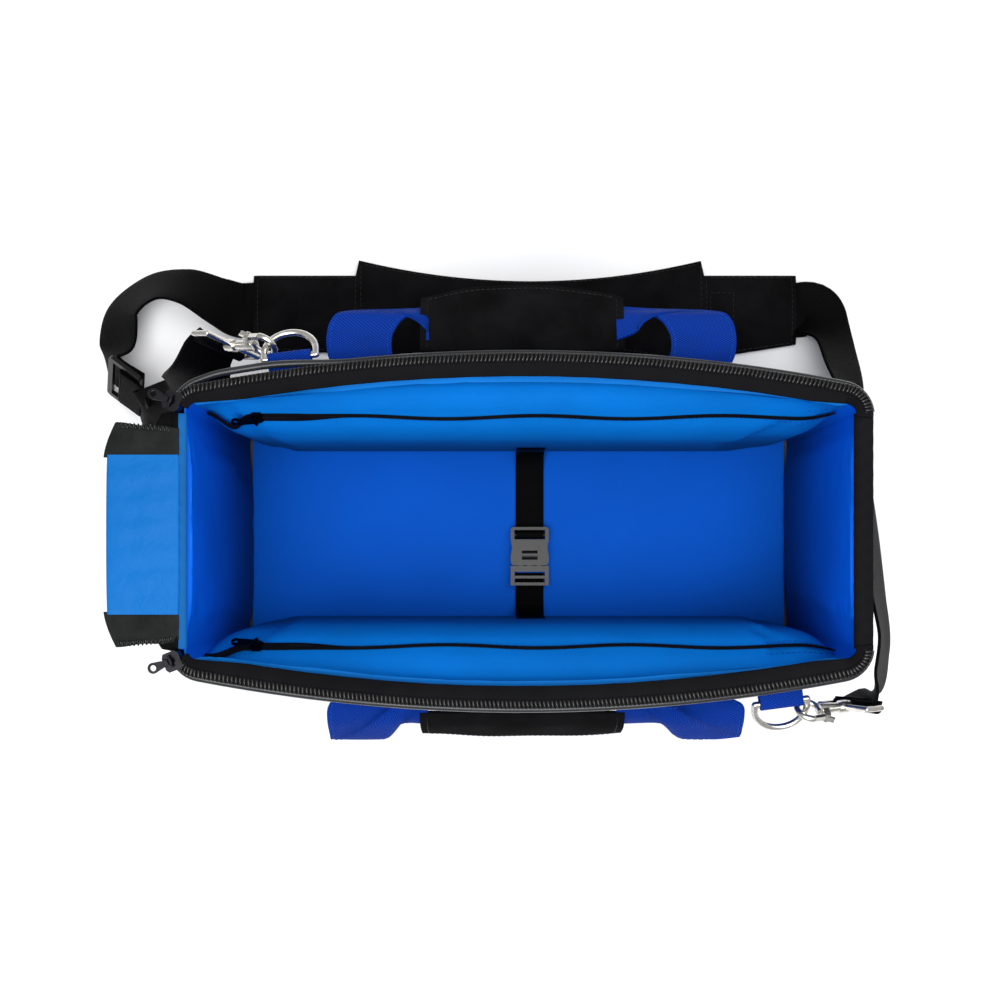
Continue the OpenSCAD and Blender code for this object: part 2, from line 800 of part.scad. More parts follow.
// D-ring: straight bar in the tab, bow hanging out and down
ring_r = (ring_in + ring_wire) / 2;
ring_leg = 6;
ring_hang = 35;
module d_ring(x, side) {
    color(nickel)
        on_wall(x, side)
            translate([0, tab_out, tab_rise])
                rotate([-ring_hang, 0, 0]) {
                    rotate([0, 90, 0])
                        cylinder(h = 2 * ring_r, d = ring_wire, center = true);
                    for (k = [-1, 1]) {
                        translate([k * ring_r, 0, 0])
                            sphere(d = ring_wire);
                        translate([k * ring_r, 0, 0])
                            rotate([-90, 0, 0])
                                cylinder(h = ring_leg, d = ring_wire);
                    }
                    translate([0, ring_leg, 0])
                        rotate_extrude(angle = 180)
                            translate([ring_r, 0])
                                circle(d = ring_wire);
                }
}
module back_d_ring() {
    d_ring(back_tab_x, BACK);
}
module front_d_ring() {
    d_ring(front_tab_x, FRONT);
}
// Place and direction of the ring wire that the hook holds
back_hook_turn = 152;
front_hook_turn = 161;
function wall_map(x, side, p) =
    let (ex = wall_dir(x, tab_z, side) * (side > 0 ? 1 : -1), ey = cross([0, 0, 1], ex))
    wall_at(x, side) + ex * p[0] + ey * p[1] + [0, 0, p[2]];
function ring_spot(turn) =
    let (q = ring_leg + ring_r * sin(turn))
    [ring_r * cos(turn), tab_out + q * cos(ring_hang), tab_rise - q * sin(ring_hang)];
// The jaw bears on the ring with its far side
jaw_seat = 3.5;
function hook_at(x, side, turn, eye) =
    let (p = wall_map(x, side, ring_spot(turn)))
    p + unit(eye - p) * jaw_seat;
function hook_wire(x, side, turn) =
    unit(wall_map(x, side, ring_spot(turn + 5)) - wall_map(x, side, ring_spot(turn - 5)));
// A point in shares of the mouth's half length and half width, at height z
function by_mouth(x, y, z) = [x * rim_len / 2, y * rim_wid / 2, z];
back_eye = by_mouth(-0.901, 1.117, rim_h - 58);
front_eye = by_mouth(1.012, -1.031, rim_h - 52);
back_bar_dir = [0.42, -0.17, -0.89];
front_bar_dir = [-0.4, 0, 0.9];
back_jaw = hook_at(back_tab_x, BACK, back_hook_turn, back_eye);
front_jaw = hook_at(front_tab_x, FRONT, front_hook_turn, front_eye);
back_wire = hook_wire(back_tab_x, BACK, back_hook_turn);
front_wire = hook_wire(front_tab_x, FRONT, front_hook_turn);
jaw_r = 9.2;
shank_end = 27;
collar_t = 6;
module on_hook(jaw, eye, wire) {
    on_frame(jaw, eye - jaw, wire)
        children();
}
// Snap hook: round jaw, tapered shank, cheeks for the gate and a headed swivel stem
jaw_from = -20;
jaw_to = 262;
gate_pin = [10.6, -8.6];
gate_w = 4;
module hook() {
    rotate([0, 0, jaw_from])
        rotate_extrude(angle = jaw_to - jaw_from)
            translate([jaw_r, 0])
                circle(d = ring_wire);
    translate([jaw_r - 1, 0, 0])
        rotate([0, 90, 0])
            cylinder(h = shank_end - jaw_r + 1, r1 = 4.6, r2 = 3.6);
    translate([shank_end - 1, 0, 0])
        rotate([0, 90, 0])
            cylinder(h = collar_t + 2.4, r = 2.4);
    translate([shank_end + collar_t + 1, 0, 0])
        rotate([0, 90, 0])
            cylinder(h = 2.2, r = 4.4);
    for (k = [-1, 1])
        translate([0, 0, k * (gate_w / 2 + 0.85) - 0.6])
            linear_extrude(1.2)
                union() {
                    translate(gate_pin)
                        circle(2.4);
                    polygon([
                        [gate_pin[0] - 2.4, gate_pin[1]], [gate_pin[0] + 2.4, gate_pin[1]],
                        [gate_pin[0] + 4.6, -2], [gate_pin[0] - 1, -2]]);
                }
    translate([gate_pin[0], gate_pin[1], 0])
        cylinder(h = gate_w + 2, r = 1, center = true);
}
module back_hook() {
    color(nickel) on_hook(back_jaw, back_eye, back_wire) hook();
}
module front_hook() {
    color(nickel) on_hook(front_jaw, front_eye, front_wire) hook();
}
// Gate: a thumb lever that closes the jaw, hinged between the cheeks
gate_turn = 181.6;
module gate() {
    translate([gate_pin[0], gate_pin[1], 0])
        rotate([0, 0, gate_turn])
            difference() {
                translate([0, 0, -gate_w / 2])
                    linear_extrude(gate_w)
                        union() {
                            circle(2.2);
                            translate([0, -1.4])
                                square([10.6, 2.8]);
                            polygon([[-1.5, 1], [1.5, 2], [-3.5, 5], [-5, 3.6]]);
                        }
                cylinder(h = gate_w + 2, r = 1.25, center = true);
            }
}
module back_hook_gate() {
    color(nickel) on_hook(back_jaw, back_eye, back_wire) gate();
}
module front_hook_gate() {
    color(nickel) on_hook(front_jaw, front_eye, front_wire) gate();
}
// Swivel: collar on the stem and a rectangular eye for the strap
eye_w = strap_w + 8;
eye_depth = 13;
module swivel() {
    bar = 4.4;
    wing = 5.4;
    x0 = shank_end + 0.2;
    translate([x0, 0, 0])
        rotate([0, 90, 0])
            difference() {
                cylinder(h = collar_t, r = 5);
                translate([0, 0, -1])
                    cylinder(h = collar_t + 2, r = 2.8);
            }
    for (k = [-1, 1]) {
        translate([x0 + collar_t / 2, k * (eye_w / 2), 0])
            rotate([0, 90, 0])
                cylinder(h = eye_depth, d = bar);
        translate([x0 + collar_t / 2, k * 4, 0])
            rotate([-k * 90, 0, 0])
                cylinder(h = eye_w / 2 - 4, d = bar);
        for (x = [0, eye_depth])
            translate([x0 + collar_t / 2 + x, k * eye_w / 2, 0])
                sphere(d = bar);
    }
    translate([x0 + collar_t / 2 + eye_depth, 0, 0])
        rotate([90, 0, 0])
            cylinder(h = eye_w, d = bar, center = true);
}
// Frames of the swivels: the eye's bar turns about the hook to suit the strap
function swivel_z(jaw, eye, bar_dir) = unit(cross(unit(eye - jaw), bar_dir));
function frame_axes(jaw, eye, z) =
    let (ex = unit(eye - jaw), ey = unit(cross(z, ex)))
    [ex, ey, cross(ex, ey)];
bar_x = shank_end + 0.2 + collar_t / 2 + eye_depth;
back_swivel_z = swivel_z(back_jaw, back_eye, back_bar_dir);
front_swivel_z = swivel_z(front_jaw, front_eye, front_bar_dir);
back_axes = frame_axes(back_jaw, back_eye, back_swivel_z);
front_axes = frame_axes(front_jaw, front_eye, front_swivel_z);
back_bar = back_jaw + back_axes[0] * bar_x;
front_bar = front_jaw + front_axes[0] * bar_x;
module back_swivel() {
    color(nickel) on_hook(back_jaw, back_eye, back_swivel_z) swivel();
}
module front_swivel() {
    color(nickel) on_hook(front_jaw, front_eye, front_swivel_z) swivel();
}
// Webbing wrapped once round a bar of diameter bar, seen along the bar
module web_loop(bar, w, t) {
    rotate([90, 0, 0])
        difference() {
            cylinder(h = w - 0.8, r = bar / 2 + ring_play + t + 0.2, center = true);
            cylinder(h = w + 1, r = bar / 2 + ring_play, center = true);
        }
}
// Radius at which webbing of thickness t leaves such a loop
function loop_off(bar, t) = bar / 2 + ring_play + t / 2 + 0.1;
eye_bar = 4.4;
loop_mid = loop_off(eye_bar, strap_t);
// Tri-glide adjuster: frame with a middle bar, standing on one end on the ground
glide_at = by_mouth(-1.383, 1.031, 30);
glide_dir = [-0.8, 0.6, 0];
glide_n = unit([-0.52, -0.7, 0.5]);
glide_len = 34;
glide_bar = 4;
glide_w = strap_w + 12;
module strap_adjuster() {
    color(black_web)
        on_frame(glide_at, glide_dir, glide_n) {
            difference() {
                translate([0, 0, -1.8])
                    linear_extrude(3.6)
                        union() {
                            square([glide_len - 8, glide_w], center = true);
                            square([glide_len, glide_w - 8], center = true);
                            for (sx = [-1, 1])
                                for (sy = [-1, 1])
                                    translate([sx * (glide_len / 2 - 4), sy * (glide_w / 2 - 4)])
                                        circle(4);
                        }
                translate([-glide_len / 2 + 5, -glide_w / 2 + 5, -3])
                    cube([glide_len - 10, glide_w - 10, 6]);
            }
            rotate([90, 0, 0])
                cylinder(h = glide_w - 8, d = glide_bar, center = true);
        }
}
glide_side = cross(glide_n, glide_dir);
glide_mid = loop_off(glide_bar, strap_t);
glide_pass = glide_mid + strap_t + 1.6;
// Direction in which the strap leaves the eye's bar, square to it, and the side that it leaves on
back_pull = by_mouth(-0.976, 0.977, 0.696 * rim_h) - back_bar;
back_leave = unit(back_pull - back_axes[1] * (back_pull * back_axes[1]));
back_off = cross(back_axes[1], back_leave);
module left_strap_web() {
    color(black_web) {
        on_frame(back_bar, back_axes[0], back_axes[2])
            web_loop(eye_bar, strap_w, strap_t);
        ribbon([
            [back_bar + back_off * loop_mid, back_axes[1]],
            [back_bar + back_off * loop_mid + back_leave * 9, back_axes[1]],
            [by_mouth(-0.984, 0.984, 0.7 * rim_h), [0.48, -0.25, -0.84]],
            [by_mouth(-1.02, 0.914, 0.625 * rim_h), [0.5, -0.4, -0.75]],
            [by_mouth(-1.067, 0.867, 0.525 * rim_h), [0.4, -0.6, -0.65]],
            [by_mouth(-1.119, 0.844, 0.408 * rim_h), [0.2, -0.8, -0.55]],
            [by_mouth(-1.174, 0.836, 0.283 * rim_h), [0, -0.85, -0.5]],
            [glide_at - glide_dir * 34 + glide_n * (glide_mid + 6), glide_side],
            [glide_at - glide_dir * 22 + glide_n * glide_mid, glide_side],
            [glide_at + glide_n * glide_mid, glide_side]], strap_w, strap_t);
        on_frame(glide_at, glide_dir, glide_n)
            web_loop(glide_bar, strap_w, strap_t);
    }
}
spad_x = 6;
spad_left = spad_x - spad_len / 2;
spad_right = spad_x + spad_len / 2;
spad_web_z = 7;
module middle_strap_web() {
    color(black_web)
        ribbon([
            [glide_at - glide_dir * 14 - glide_n * glide_pass, -glide_side],
            [glide_at + glide_dir * 17 - glide_n * glide_pass, -glide_side],
            [by_mouth(-1.415, 1.312, 24), [0.8, 0.15, 0.58]],
            [by_mouth(-1.36, 1.5, 22), [0.75, -0.1, 0.65]],
            [by_mouth(-1.281, 1.641, 21), [0.45, -0.5, 0.74]],
            [by_mouth(-1.178, 1.695, 18.5), [0.1, -0.75, 0.65]],
            [by_mouth(-1.067, 1.641, 12), [0, -0.93, 0.36]],
            [[spad_left - 13, spad_y + 3, spad_web_z], [0, -1, 0.02]],
            [[spad_left - 0.6, spad_y + 3, spad_web_z], [0, -1, 0.02]]], strap_w, strap_t);
}
module right_strap_web() {
    color(black_web) {
        ribbon([
            [[spad_right + 0.6, spad_y + 3, spad_web_z], [0, -1, 0.02]],
            [[spad_right + 13, spad_y + 3, spad_web_z], [0, -1, 0.02]],
            [by_mouth(1.083, 1.5, 12), [-0.25, -0.85, 0.35]],
            [by_mouth(1.119, 1.344, 21), [-0.6, -0.4, 0.7]],
            [by_mouth(1.134, 1.109, 0.158 * rim_h), [-0.7, -0.05, 0.68]],
            [by_mouth(1.134, 0.82, 0.258 * rim_h), [-0.5, 0, 0.87]],
            [by_mouth(1.13, 0.469, 0.383 * rim_h), [-0.45, 0, 0.9]],
            [by_mouth(1.123, 0.039, 0.525 * rim_h), [-0.45, 0, 0.9]],
            [by_mouth(1.111, -0.352, 0.65 * rim_h), [-0.45, 0, 0.9]],
            [by_mouth(1.107, -0.664, 0.733 * rim_h), [-0.4, 0, 0.9]],
            [by_mouth(1.075, -0.922, 0.775 * rim_h), [-0.4, 0, 0.9]],
            [front_bar + front_axes[0] * 7 - front_axes[2] * loop_mid, front_axes[1]],
            [front_bar - front_axes[2] * loop_mid, front_axes[1]]], strap_w, strap_t);
        on_frame(front_bar, front_axes[0], front_axes[2])
            web_loop(eye_bar, strap_w, strap_t);
    }
}
// Shoulder pad: two end panels and a waisted middle panel, crowned, flat underneath
spad_seams = [spad_left + 95, spad_right - 84];
function spad_half(x) =
    x < spad_seams[0] || x > spad_seams[1]
    ? spad_end_w / 2
    : let (u = 2 * (x - spad_seams[0]) / (spad_seams[1] - spad_seams[0]) - 1)
      mix(spad_waist_w, spad_mid_w, u * u) / 2;
module shoulder_pad() {
    edge = 5;
    seam = 0.6;
    xs = concat(
        steps(spad_left, spad_seams[0] - seam, 4),
        steps(spad_seams[0] + seam, spad_seams[1] - seam, 12),
        steps(spad_seams[1] + seam, spad_right, 4));
    dip = function (x) min([for (s = spad_seams) clip(abs(x - s) / 14)]);
    ends = function (x) clip(min(x - spad_left, spad_right - x) / 16);
    top = function (x, v) edge
        + (spad_t - edge) * (1 - pow(abs(v), 3)) * (0.45 + 0.55 * smooth(dip(x))) * (0.35 + 0.65 * smooth(ends(x)));
    color(black_suede)
        slab(
            [for (x = xs) [for (v = steps(-1, 1, 6)) [x, spad_y + v * spad_half(x), top(x, v)]]],
            [for (x = xs) [for (v = steps(-1, 1, 6)) [x, spad_y + v * spad_half(x), 0]]]);
}

// ---- Hold-down strap ----
floor_top = floor_pad_z + floor_pad_t - 2 + floor_crown;
hold_z = floor_top + hold_t / 2 + 0.4;
buckle_z = hold_z + hold_t / 2 + 0.6 + 4.6;
socket_len = 34;
buckle_w = 34;
buckle_t = 9;
hold_bar = 3;
hold_loop = loop_off(hold_bar, hold_t);
// Bar of the socket, with room for the webbing on both sides of it
bar_room = hold_bar / 2 + hold_t + 0.9;
socket_bar_y = buckle_len / 2 - 2.6 - bar_room;
function side_face(side, z, out) = [hold_x, side * (pad_flat_y(z) - out), z];
module hold_strap_back() {
    bar_y = buckle_y + socket_bar_y;
    color(black_web) {
        ribbon([
            [side_face(BACK, 92, 1.4), [1, 0, 0]],
            [side_face(BACK, 60, 1.5), [1, 0, 0]],
            [side_face(BACK, 36, 2.6), [1, 0, 0]],
            [[hold_x, pad_space / 2 - 12, hold_z + 3], [1, 0, 0]],
            [[hold_x, pad_space / 2 - 24, hold_z + 0.4], [1, 0, 0]],
            [[hold_x, bar_y + 12, hold_z + 1.4], [1, 0, 0]],
            [[hold_x, bar_y + 5, buckle_z - hold_loop], [1, 0, 0]],
            [[hold_x, bar_y, buckle_z - hold_loop], [1, 0, 0]]], hold_w, hold_t);
        translate([hold_x, bar_y, buckle_z])
            rotate([0, 0, 90])
                web_loop(hold_bar, hold_w, hold_t);
    }
}
module hold_strap_front() {
    color(black_web)
        ribbon([
            [side_face(FRONT, 92, 1.4), [1, 0, 0]],
            [side_face(FRONT, 60, 1.5), [1, 0, 0]],
            [side_face(FRONT, 36, 2.6), [1, 0, 0]],
            [[hold_x, -pad_space / 2 + 8, hold_z + 4], [1, 0, 0]],
            [[hold_x, -pad_space / 2 + 16, hold_z + 0.3], [1, 0, 0]],
            [[hold_x, buckle_y - buckle_len / 2 + 4, hold_z], [1, 0, 0]],
            [[hold_x, buckle_y - buckle_len / 2 + 11, hold_z], [1, 0, 0]]], hold_w, hold_t);
}
// Frame at the buckle: x across, y toward the back, z up
module on_buckle() {
    translate([hold_x, buckle_y, buckle_z])
        children();
}
// Plan of the socket: narrow at the strap bar, swelling round the side windows
module socket_plan() {
    h = buckle_w / 2;
    y1 = buckle_len / 2;
    y0 = y1 - socket_len;
    polygon([
        [-h + 2, y0], [-h + 0.4, y0 + 2], [-h, y0 + 8], [-h + 1.4, y0 + 16], [-h, y0 + 23],
        [-h, y1 - 2], [-h + 2, y1], [h - 2, y1], [h, y1 - 2], [h, y0 + 23],
        [h - 1.4, y0 + 16], [h, y0 + 8], [h - 0.4, y0 + 2], [h - 2, y0]]);
}
cavity_t = 5.4;
cavity_w = buckle_w - 6;
module buckle_socket() {
    y1 = buckle_len / 2;
    y0 = y1 - socket_len;
    color(black_web)
        on_buckle()
            difference() {
                translate([0, 0, -buckle_t / 2])
                    linear_extrude(buckle_t)
                        socket_plan();
                // room for the prongs, open at the mouth
                translate([-cavity_w / 2, y0 - 1, -cavity_t / 2])
                    cube([cavity_w, socket_len - 2 * bar_room - 5, cavity_t]);
                // side windows
                translate([-buckle_w / 2 - 1, y0 + 9, -cavity_t / 2])
                    cube([buckle_w + 2, 11, cavity_t]);
                // strap opening, and a notch under its outer rail
                translate([-hold_w / 2 - 1.2, socket_bar_y - bar_room, -buckle_t])
                    cube([hold_w + 2.4, 2 * bar_room, 2 * buckle_t]);
                translate([-hold_w / 2 - 1.2, socket_bar_y, -buckle_t - 0.9])
                    cube([hold_w + 2.4, 20, buckle_t]);
                // thumb relief on the top face
                translate([0, y0 + 9, buckle_t / 2 + 4.4])
                    rotate([0, 90, 0])
                        cylinder(h = 14, r = 6, center = true);
            }
    color(black_web)
        on_buckle()
            translate([0, socket_bar_y, 0])
                rotate([0, 90, 0])
                    cylinder(h = hold_w + 4, d = hold_bar, center = true);
}
plug_bar_len = buckle_len - socket_len - 0.6;
module buckle_plug() {
    y0 = buckle_len / 2 - socket_len;
    yb = y0 - 0.6;
    reach = 19;
    head = cavity_w / 2 - 0.4;
    color(black_web)
        on_buckle() {
            difference() {
                translate([-buckle_w / 2, yb - plug_bar_len, -3.4])
                    cube([buckle_w, plug_bar_len, 6.8]);
                for (k = [0, 1])
                    translate([-hold_w / 2 - 1, yb - plug_bar_len + 2.6 + k * 6, -6])
                        cube([hold_w + 2, 3.6, 12]);
                translate([-hold_w / 2 - 1, yb - plug_bar_len - 1, 1.6])
                    cube([hold_w + 2, 10, 6]);
            }
            // centre guide
            translate([-2.5, yb - 1, -1.6])
                cube([5, reach - 4, 3.2]);
            // two springy prongs with their heads in the side windows
            for (k = [-1, 1])
                mirror([k > 0 ? 0 : 1, 0, 0])
                    translate([0, 0, -2.2])
                        linear_extrude(4.4)
                            polygon([
                                [6, yb - 0.5], [10, yb - 0.5], [11.4, yb + 10],
                                [head, yb + 10.6], [head, yb + 15],
                                [11.5, yb + reach + 1.4], [9.2, yb + reach + 1],
                                [9, yb + 12]]);
        }
}

// ---- End flap ----
flap_z0 = wall_z1 + 0.5;
flap_y0 = -(corner_cy(rim_h) - 1.4);
flap_y1 = corner_cy(rim_h) - flap_inset;
flap_x1 = flap_hinge_x - 0.4;
flap_x0 = flap_x1 - flap_len;
flap_axis_z = flap_z0 + flap_t / 2;
// Soft panel between the trims, a little crowned on both faces
module flap_panel() {
    y0 = flap_y0 + flap_trim_w + layer_gap;
    y1 = flap_y1 - flap_trim_w - layer_gap;
    xs = steps(flap_x0, flap_x1, 6);
    ys = steps(y0, y1, 6);
    puff = function (x, y)
        1.6 * (1 - pow(2 * (x - flap_x0) / flap_len - 1, 4))
        * (1 - pow(2 * (y - y0) / (y1 - y0) - 1, 4));
    color(blue_lining)
        slab(
            [for (x = xs) [for (y = ys) [x, y, flap_z0 + flap_t - 1.6 + puff(x, y)]]],
            [for (x = xs) [for (y = ys) [x, y, flap_z0]]]);
}
// Stiff black trims along both sides of the flap, flaring toward its free edge
module flap_trims() {
    us = steps(0, 1, 5);
    flare = function (u) 3 * sin(u * 90);
    color(black_suede)
        for (k = [0, 1])
            let (
                inner = k == 0 ? flap_y0 + flap_trim_w : flap_y1 - flap_trim_w,
                outer = k == 0 ? flap_y0 : flap_y1,
                out = k == 0 ? -1 : 1)
            slab(
                [for (u = us) [for (v = steps(0, 1, 3))
                    [mix(flap_x1, flap_x0, u), mix(inner, outer + out * (flare(u) - 3), v),
                     flap_z0 + flap_t - 1 - 1.5 * v * v]]],
                [for (u = us) [for (v = steps(0, 1, 3))
                    [mix(flap_x1, flap_x0, u), mix(inner, outer + out * (flare(u) - 3), v),
                     flap_z0 + 0.4]]]);
}
// Zip coils on the outer edges of the flap trims
module flap_coils() {
    turns = floor((flap_len - 14) / coil_pitch);
    z = flap_z0 + flap_t - 1.6 + coil_wire / 2;
    color(black_tape)
        for (k = [0, 1])
            let (outer = k == 0 ? flap_y0 : flap_y1, out = k == 0 ? -1 : 1)
            for (i = [0 : turns])
                translate([
                    flap_x0 + 3 + i * coil_pitch,
                    outer + out * (3 * sin(90 * (1 - (3 + i * coil_pitch) / flap_len)) - 3.4), z])
                    rotate([out * 90, 0, 0])
                        cylinder(h = coil_w, d = coil_wire, center = true, $fn = 16);
}

base_cover();
base_board();
floor_pad();
front_wall();
back_wall();
left_wall();
right_wall();
corner_panels();
front_pad();
back_pad();
left_pad();
right_pad();
front_rim_tape();
back_rim_tape();
front_zip_coil();
back_zip_coil();
rim_frames();
rim_piping();
left_seam_strip();
right_seam_strip();
front_pocket_zip();
back_pocket_zip();
front_pocket_slider();
back_pocket_slider();
front_pocket_pull();
back_pocket_pull();
front_main_slider();
back_main_slider();
front_main_pull();
back_main_pull();
front_handle_runs();
back_handle_runs();
front_handle_web();
back_handle_web();
front_grip();
back_grip();
ring_tabs();
back_d_ring();
front_d_ring();
back_hook();
front_hook();
back_hook_gate();
front_hook_gate();
back_swivel();
front_swivel();
left_strap_web();
middle_strap_web();
right_strap_web();
strap_adjuster();
shoulder_pad();
hold_strap_back();
hold_strap_front();
buckle_socket();
buckle_plug();
flap_panel();
flap_trims();
flap_coils();
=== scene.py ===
"""Soft carrying bag standing open: the looks of every piece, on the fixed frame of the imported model."""
from math import acos, atan, copysign, cos, degrees, exp, pi, radians, sin, sqrt

import bpy
from bpy.props import FloatProperty, FloatVectorProperty, PointerProperty
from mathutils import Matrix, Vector


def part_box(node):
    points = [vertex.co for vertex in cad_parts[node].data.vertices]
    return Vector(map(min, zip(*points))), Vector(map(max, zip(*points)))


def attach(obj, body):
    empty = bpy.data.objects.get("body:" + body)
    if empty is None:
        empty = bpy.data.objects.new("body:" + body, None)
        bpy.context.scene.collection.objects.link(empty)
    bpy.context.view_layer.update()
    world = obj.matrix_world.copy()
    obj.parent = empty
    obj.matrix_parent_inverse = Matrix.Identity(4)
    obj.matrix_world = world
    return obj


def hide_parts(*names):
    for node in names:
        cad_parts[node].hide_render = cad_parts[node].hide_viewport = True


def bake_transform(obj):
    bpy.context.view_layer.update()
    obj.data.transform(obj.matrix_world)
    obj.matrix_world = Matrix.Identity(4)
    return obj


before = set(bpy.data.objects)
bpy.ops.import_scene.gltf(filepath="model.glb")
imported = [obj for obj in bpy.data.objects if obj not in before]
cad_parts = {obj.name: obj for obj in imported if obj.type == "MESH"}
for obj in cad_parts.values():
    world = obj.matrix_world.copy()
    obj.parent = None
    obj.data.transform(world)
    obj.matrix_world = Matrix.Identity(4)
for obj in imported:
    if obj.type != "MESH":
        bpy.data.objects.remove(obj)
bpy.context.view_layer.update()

bl_info = {
    "name": "Open carrying bag",
    "version": (1, 0, 0),
    "blender": (4, 5, 0),
    "location": "View3D > Sidebar > Bag",
    "description": "Builds the cloth, padding, webbing, zips and materials of an open carrying bag",
    "category": "Object",
}

MM = 0.001
PAINTS = {}
FRONT, BACK, LEFT, RIGHT = -1, 1, -1, 1
SIDES = ((FRONT, "front"), (BACK, "back"))
ENDS = ((LEFT, "left"), (RIGHT, "right"))
CORNERS = ((LEFT, FRONT), (LEFT, BACK), (RIGHT, FRONT), (RIGHT, BACK))


# ---------------------------------------------------------------- plan of the bag, in millimetres
def mix(a, b, k):
    return a + (b - a) * k


def clip(k):
    return min(1.0, max(0.0, k))


def smooth(k):
    k = clip(k)
    return k * k * (3 - 2 * k)


RIM_H, BASE_LEN, RIM_LEN, BASE_WID, RIM_WID = 240, 500, 506, 196, 256
RIM_BOW, BELLY, CORNER_R, WALL_T, BASE_T, GAP = 26, 4, 22, 4, 3, 0.4
TAPE_W, TAPE_T, TAPE_DROP = 20, 2.2, 6
END_PAD_T = 7
PAD_DEPTH = WALL_T + 2 * GAP
PAD_END = PAD_DEPTH + END_PAD_T + 2 * GAP
PAD_Z0, PAD_Z1 = 15.8, RIM_H - TAPE_DROP - TAPE_T - 2.4
POCKET_Z, POCKET_TAPE, POCKET_TAPE_THIN, ZIP_GROOVE = 190, 6.4, 2.6, 1.6
COIL_IN, COIL_HALF, COIL_WIRE = 3.4, 2.5, 1.15
PIPE_OUT, PIPE_DROP, PIPE_R = 1.2, 8.5, 2.7
STRAP_W, STRAP_T, HOLD_W, HOLD_T, TAB_W, TAB_T = 49.6, 2.4, 25, 1.8, 32, 1.8


def point(x, y, z):
    """A place given in millimetres."""
    return Vector((x, y, z)) * MM


def half_l(z):
    return mix(BASE_LEN, RIM_LEN, z / RIM_H) / 2


def bow(z):
    return RIM_BOW * z / RIM_H


def side_y(x, z):
    """Half width of the outer face of a long wall."""
    k = z / RIM_H
    u = (x / half_l(z)) ** 2
    return mix(BASE_WID, RIM_WID, k) / 2 - bow(z) * u + BELLY * 4 * k * (1 - k) * (1 - u)


def tilt(z):
    """Slant of a long wall where it meets its corner."""
    return atan(1.85 * bow(z) / half_l(z))


def corner_x(z):
    return half_l(z) - CORNER_R + CORNER_R * sin(tilt(z))


def corner_cx(z):
    return half_l(z) - CORNER_R


def corner_cy(z):
    return side_y(corner_x(z), z) - CORNER_R * cos(tilt(z))


def inner_y(x, z, d):
    """Half width at depth d inside the outer face, round the corners too."""
    if abs(x) <= corner_x(z):
        return side_y(x, z) - d
    return corner_cy(z) + sqrt(max(1, (CORNER_R - d) ** 2 - (abs(x) - corner_cx(z)) ** 2))


def pad_flat_y(z):
    return 74 + 6 * clip((60 - z) / 60) ** 2 + 0.0085 * max(0, z - 148) ** 2


def pad_face_y(x, z):
    """Inner face of a side pad: flat below the pocket, flaring out to the rim, rounded at its ends."""
    wall = inner_y(x, z, PAD_DEPTH)
    top = smooth((z - POCKET_Z - 12) / (PAD_Z1 - POCKET_Z - 12))
    face = mix(pad_flat_y(z), wall - 12, top)
    u = clip((abs(x) - half_l(z) + PAD_END + 30) / 30)
    return mix(wall - 4, min(face, wall - 4), sqrt(max(0, 1 - u * u)))


# angles from the end wall at which the mouth's zip starts and stops, in degrees
ZIP_LEFT, ZIP_RIGHT = 26, 6


def rim_arc(a):
    return CORNER_R * radians(90 - degrees(tilt(RIM_H)) - a)


ARC_LEFT, RIM_SIDE = rim_arc(ZIP_LEFT), 2 * corner_x(RIM_H)
RIM_RUN = RIM_SIDE + ARC_LEFT + rim_arc(ZIP_RIGHT)


def rim_at(s):
    """Place and outward direction at run s along the back rim."""
    def corner(a, end):
        c, k = cos(radians(a)), sin(radians(a))
        return (end * (corner_cx(RIM_H) + CORNER_R * c), corner_cy(RIM_H) + CORNER_R * k,
                radians(a) if end > 0 else pi - radians(a))
    if s < ARC_LEFT:
        return corner(ZIP_LEFT + degrees(s / CORNER_R), LEFT)
    if s <= ARC_LEFT + RIM_SIDE:
        x = s - ARC_LEFT - RIM_SIDE / 2
        return x, side_y(x, RIM_H), pi / 2 - atan(2 * RIM_BOW * x / half_l(RIM_H) ** 2)
    left = 90 - degrees(tilt(RIM_H)) - degrees((s - ARC_LEFT - RIM_SIDE) / CORNER_R)
    return corner(left, RIGHT)


def rim_point(s, d, z, side=BACK):
    """Point at run s along the rim, d in from the outer face, at height z."""
    x, y, a = rim_at(s)
    return point(x - d * cos(a), side * (y - d * sin(a)), z)


def tape_z(d):
    """Height of the mouth's zip tape at depth d."""
    return RIM_H - TAPE_DROP * (d / TAPE_W) ** 2


def rounded(value, power):
    """A sine or cosine made squarer."""
    return copysign(abs(value) ** power, value)


def cushion_z(a, top, bottom, middle, steep):
    """Height at angle a once round a cushion: its top or bottom face, drawn in at the edges."""
    return mix(middle, top if sin(a) > 0 else bottom, min(1, abs(sin(a)) * steep))


def in_mm(box):
    low, high = box
    return [v / MM for v in (low.x, high.x, low.y, high.y, low.z, high.z)]


# ---------------------------------------------------------------- modelling helpers
def only(*objects):
    bpy.ops.object.select_all(action="DESELECT")
    for o in objects:
        o.select_set(True)
    bpy.context.view_layer.objects.active = objects[0]


def applied(o):
    only(o)
    for m in list(o.modifiers):
        bpy.ops.object.modifier_apply(modifier=m.name)
    return o


def smoothed(o, angle=40):
    only(o)
    bpy.ops.object.shade_smooth_by_angle(angle=radians(angle))
    return o


def settled(o):
    """Faces turned outward, place written into the mesh."""
    only(o)
    bpy.ops.object.transform_apply(location=True, rotation=True, scale=True)
    bpy.ops.object.mode_set(mode="EDIT")
    bpy.ops.mesh.select_all(action="SELECT")
    bpy.ops.mesh.normals_make_consistent(inside=False)
    bpy.ops.object.mode_set(mode="OBJECT")
    return o


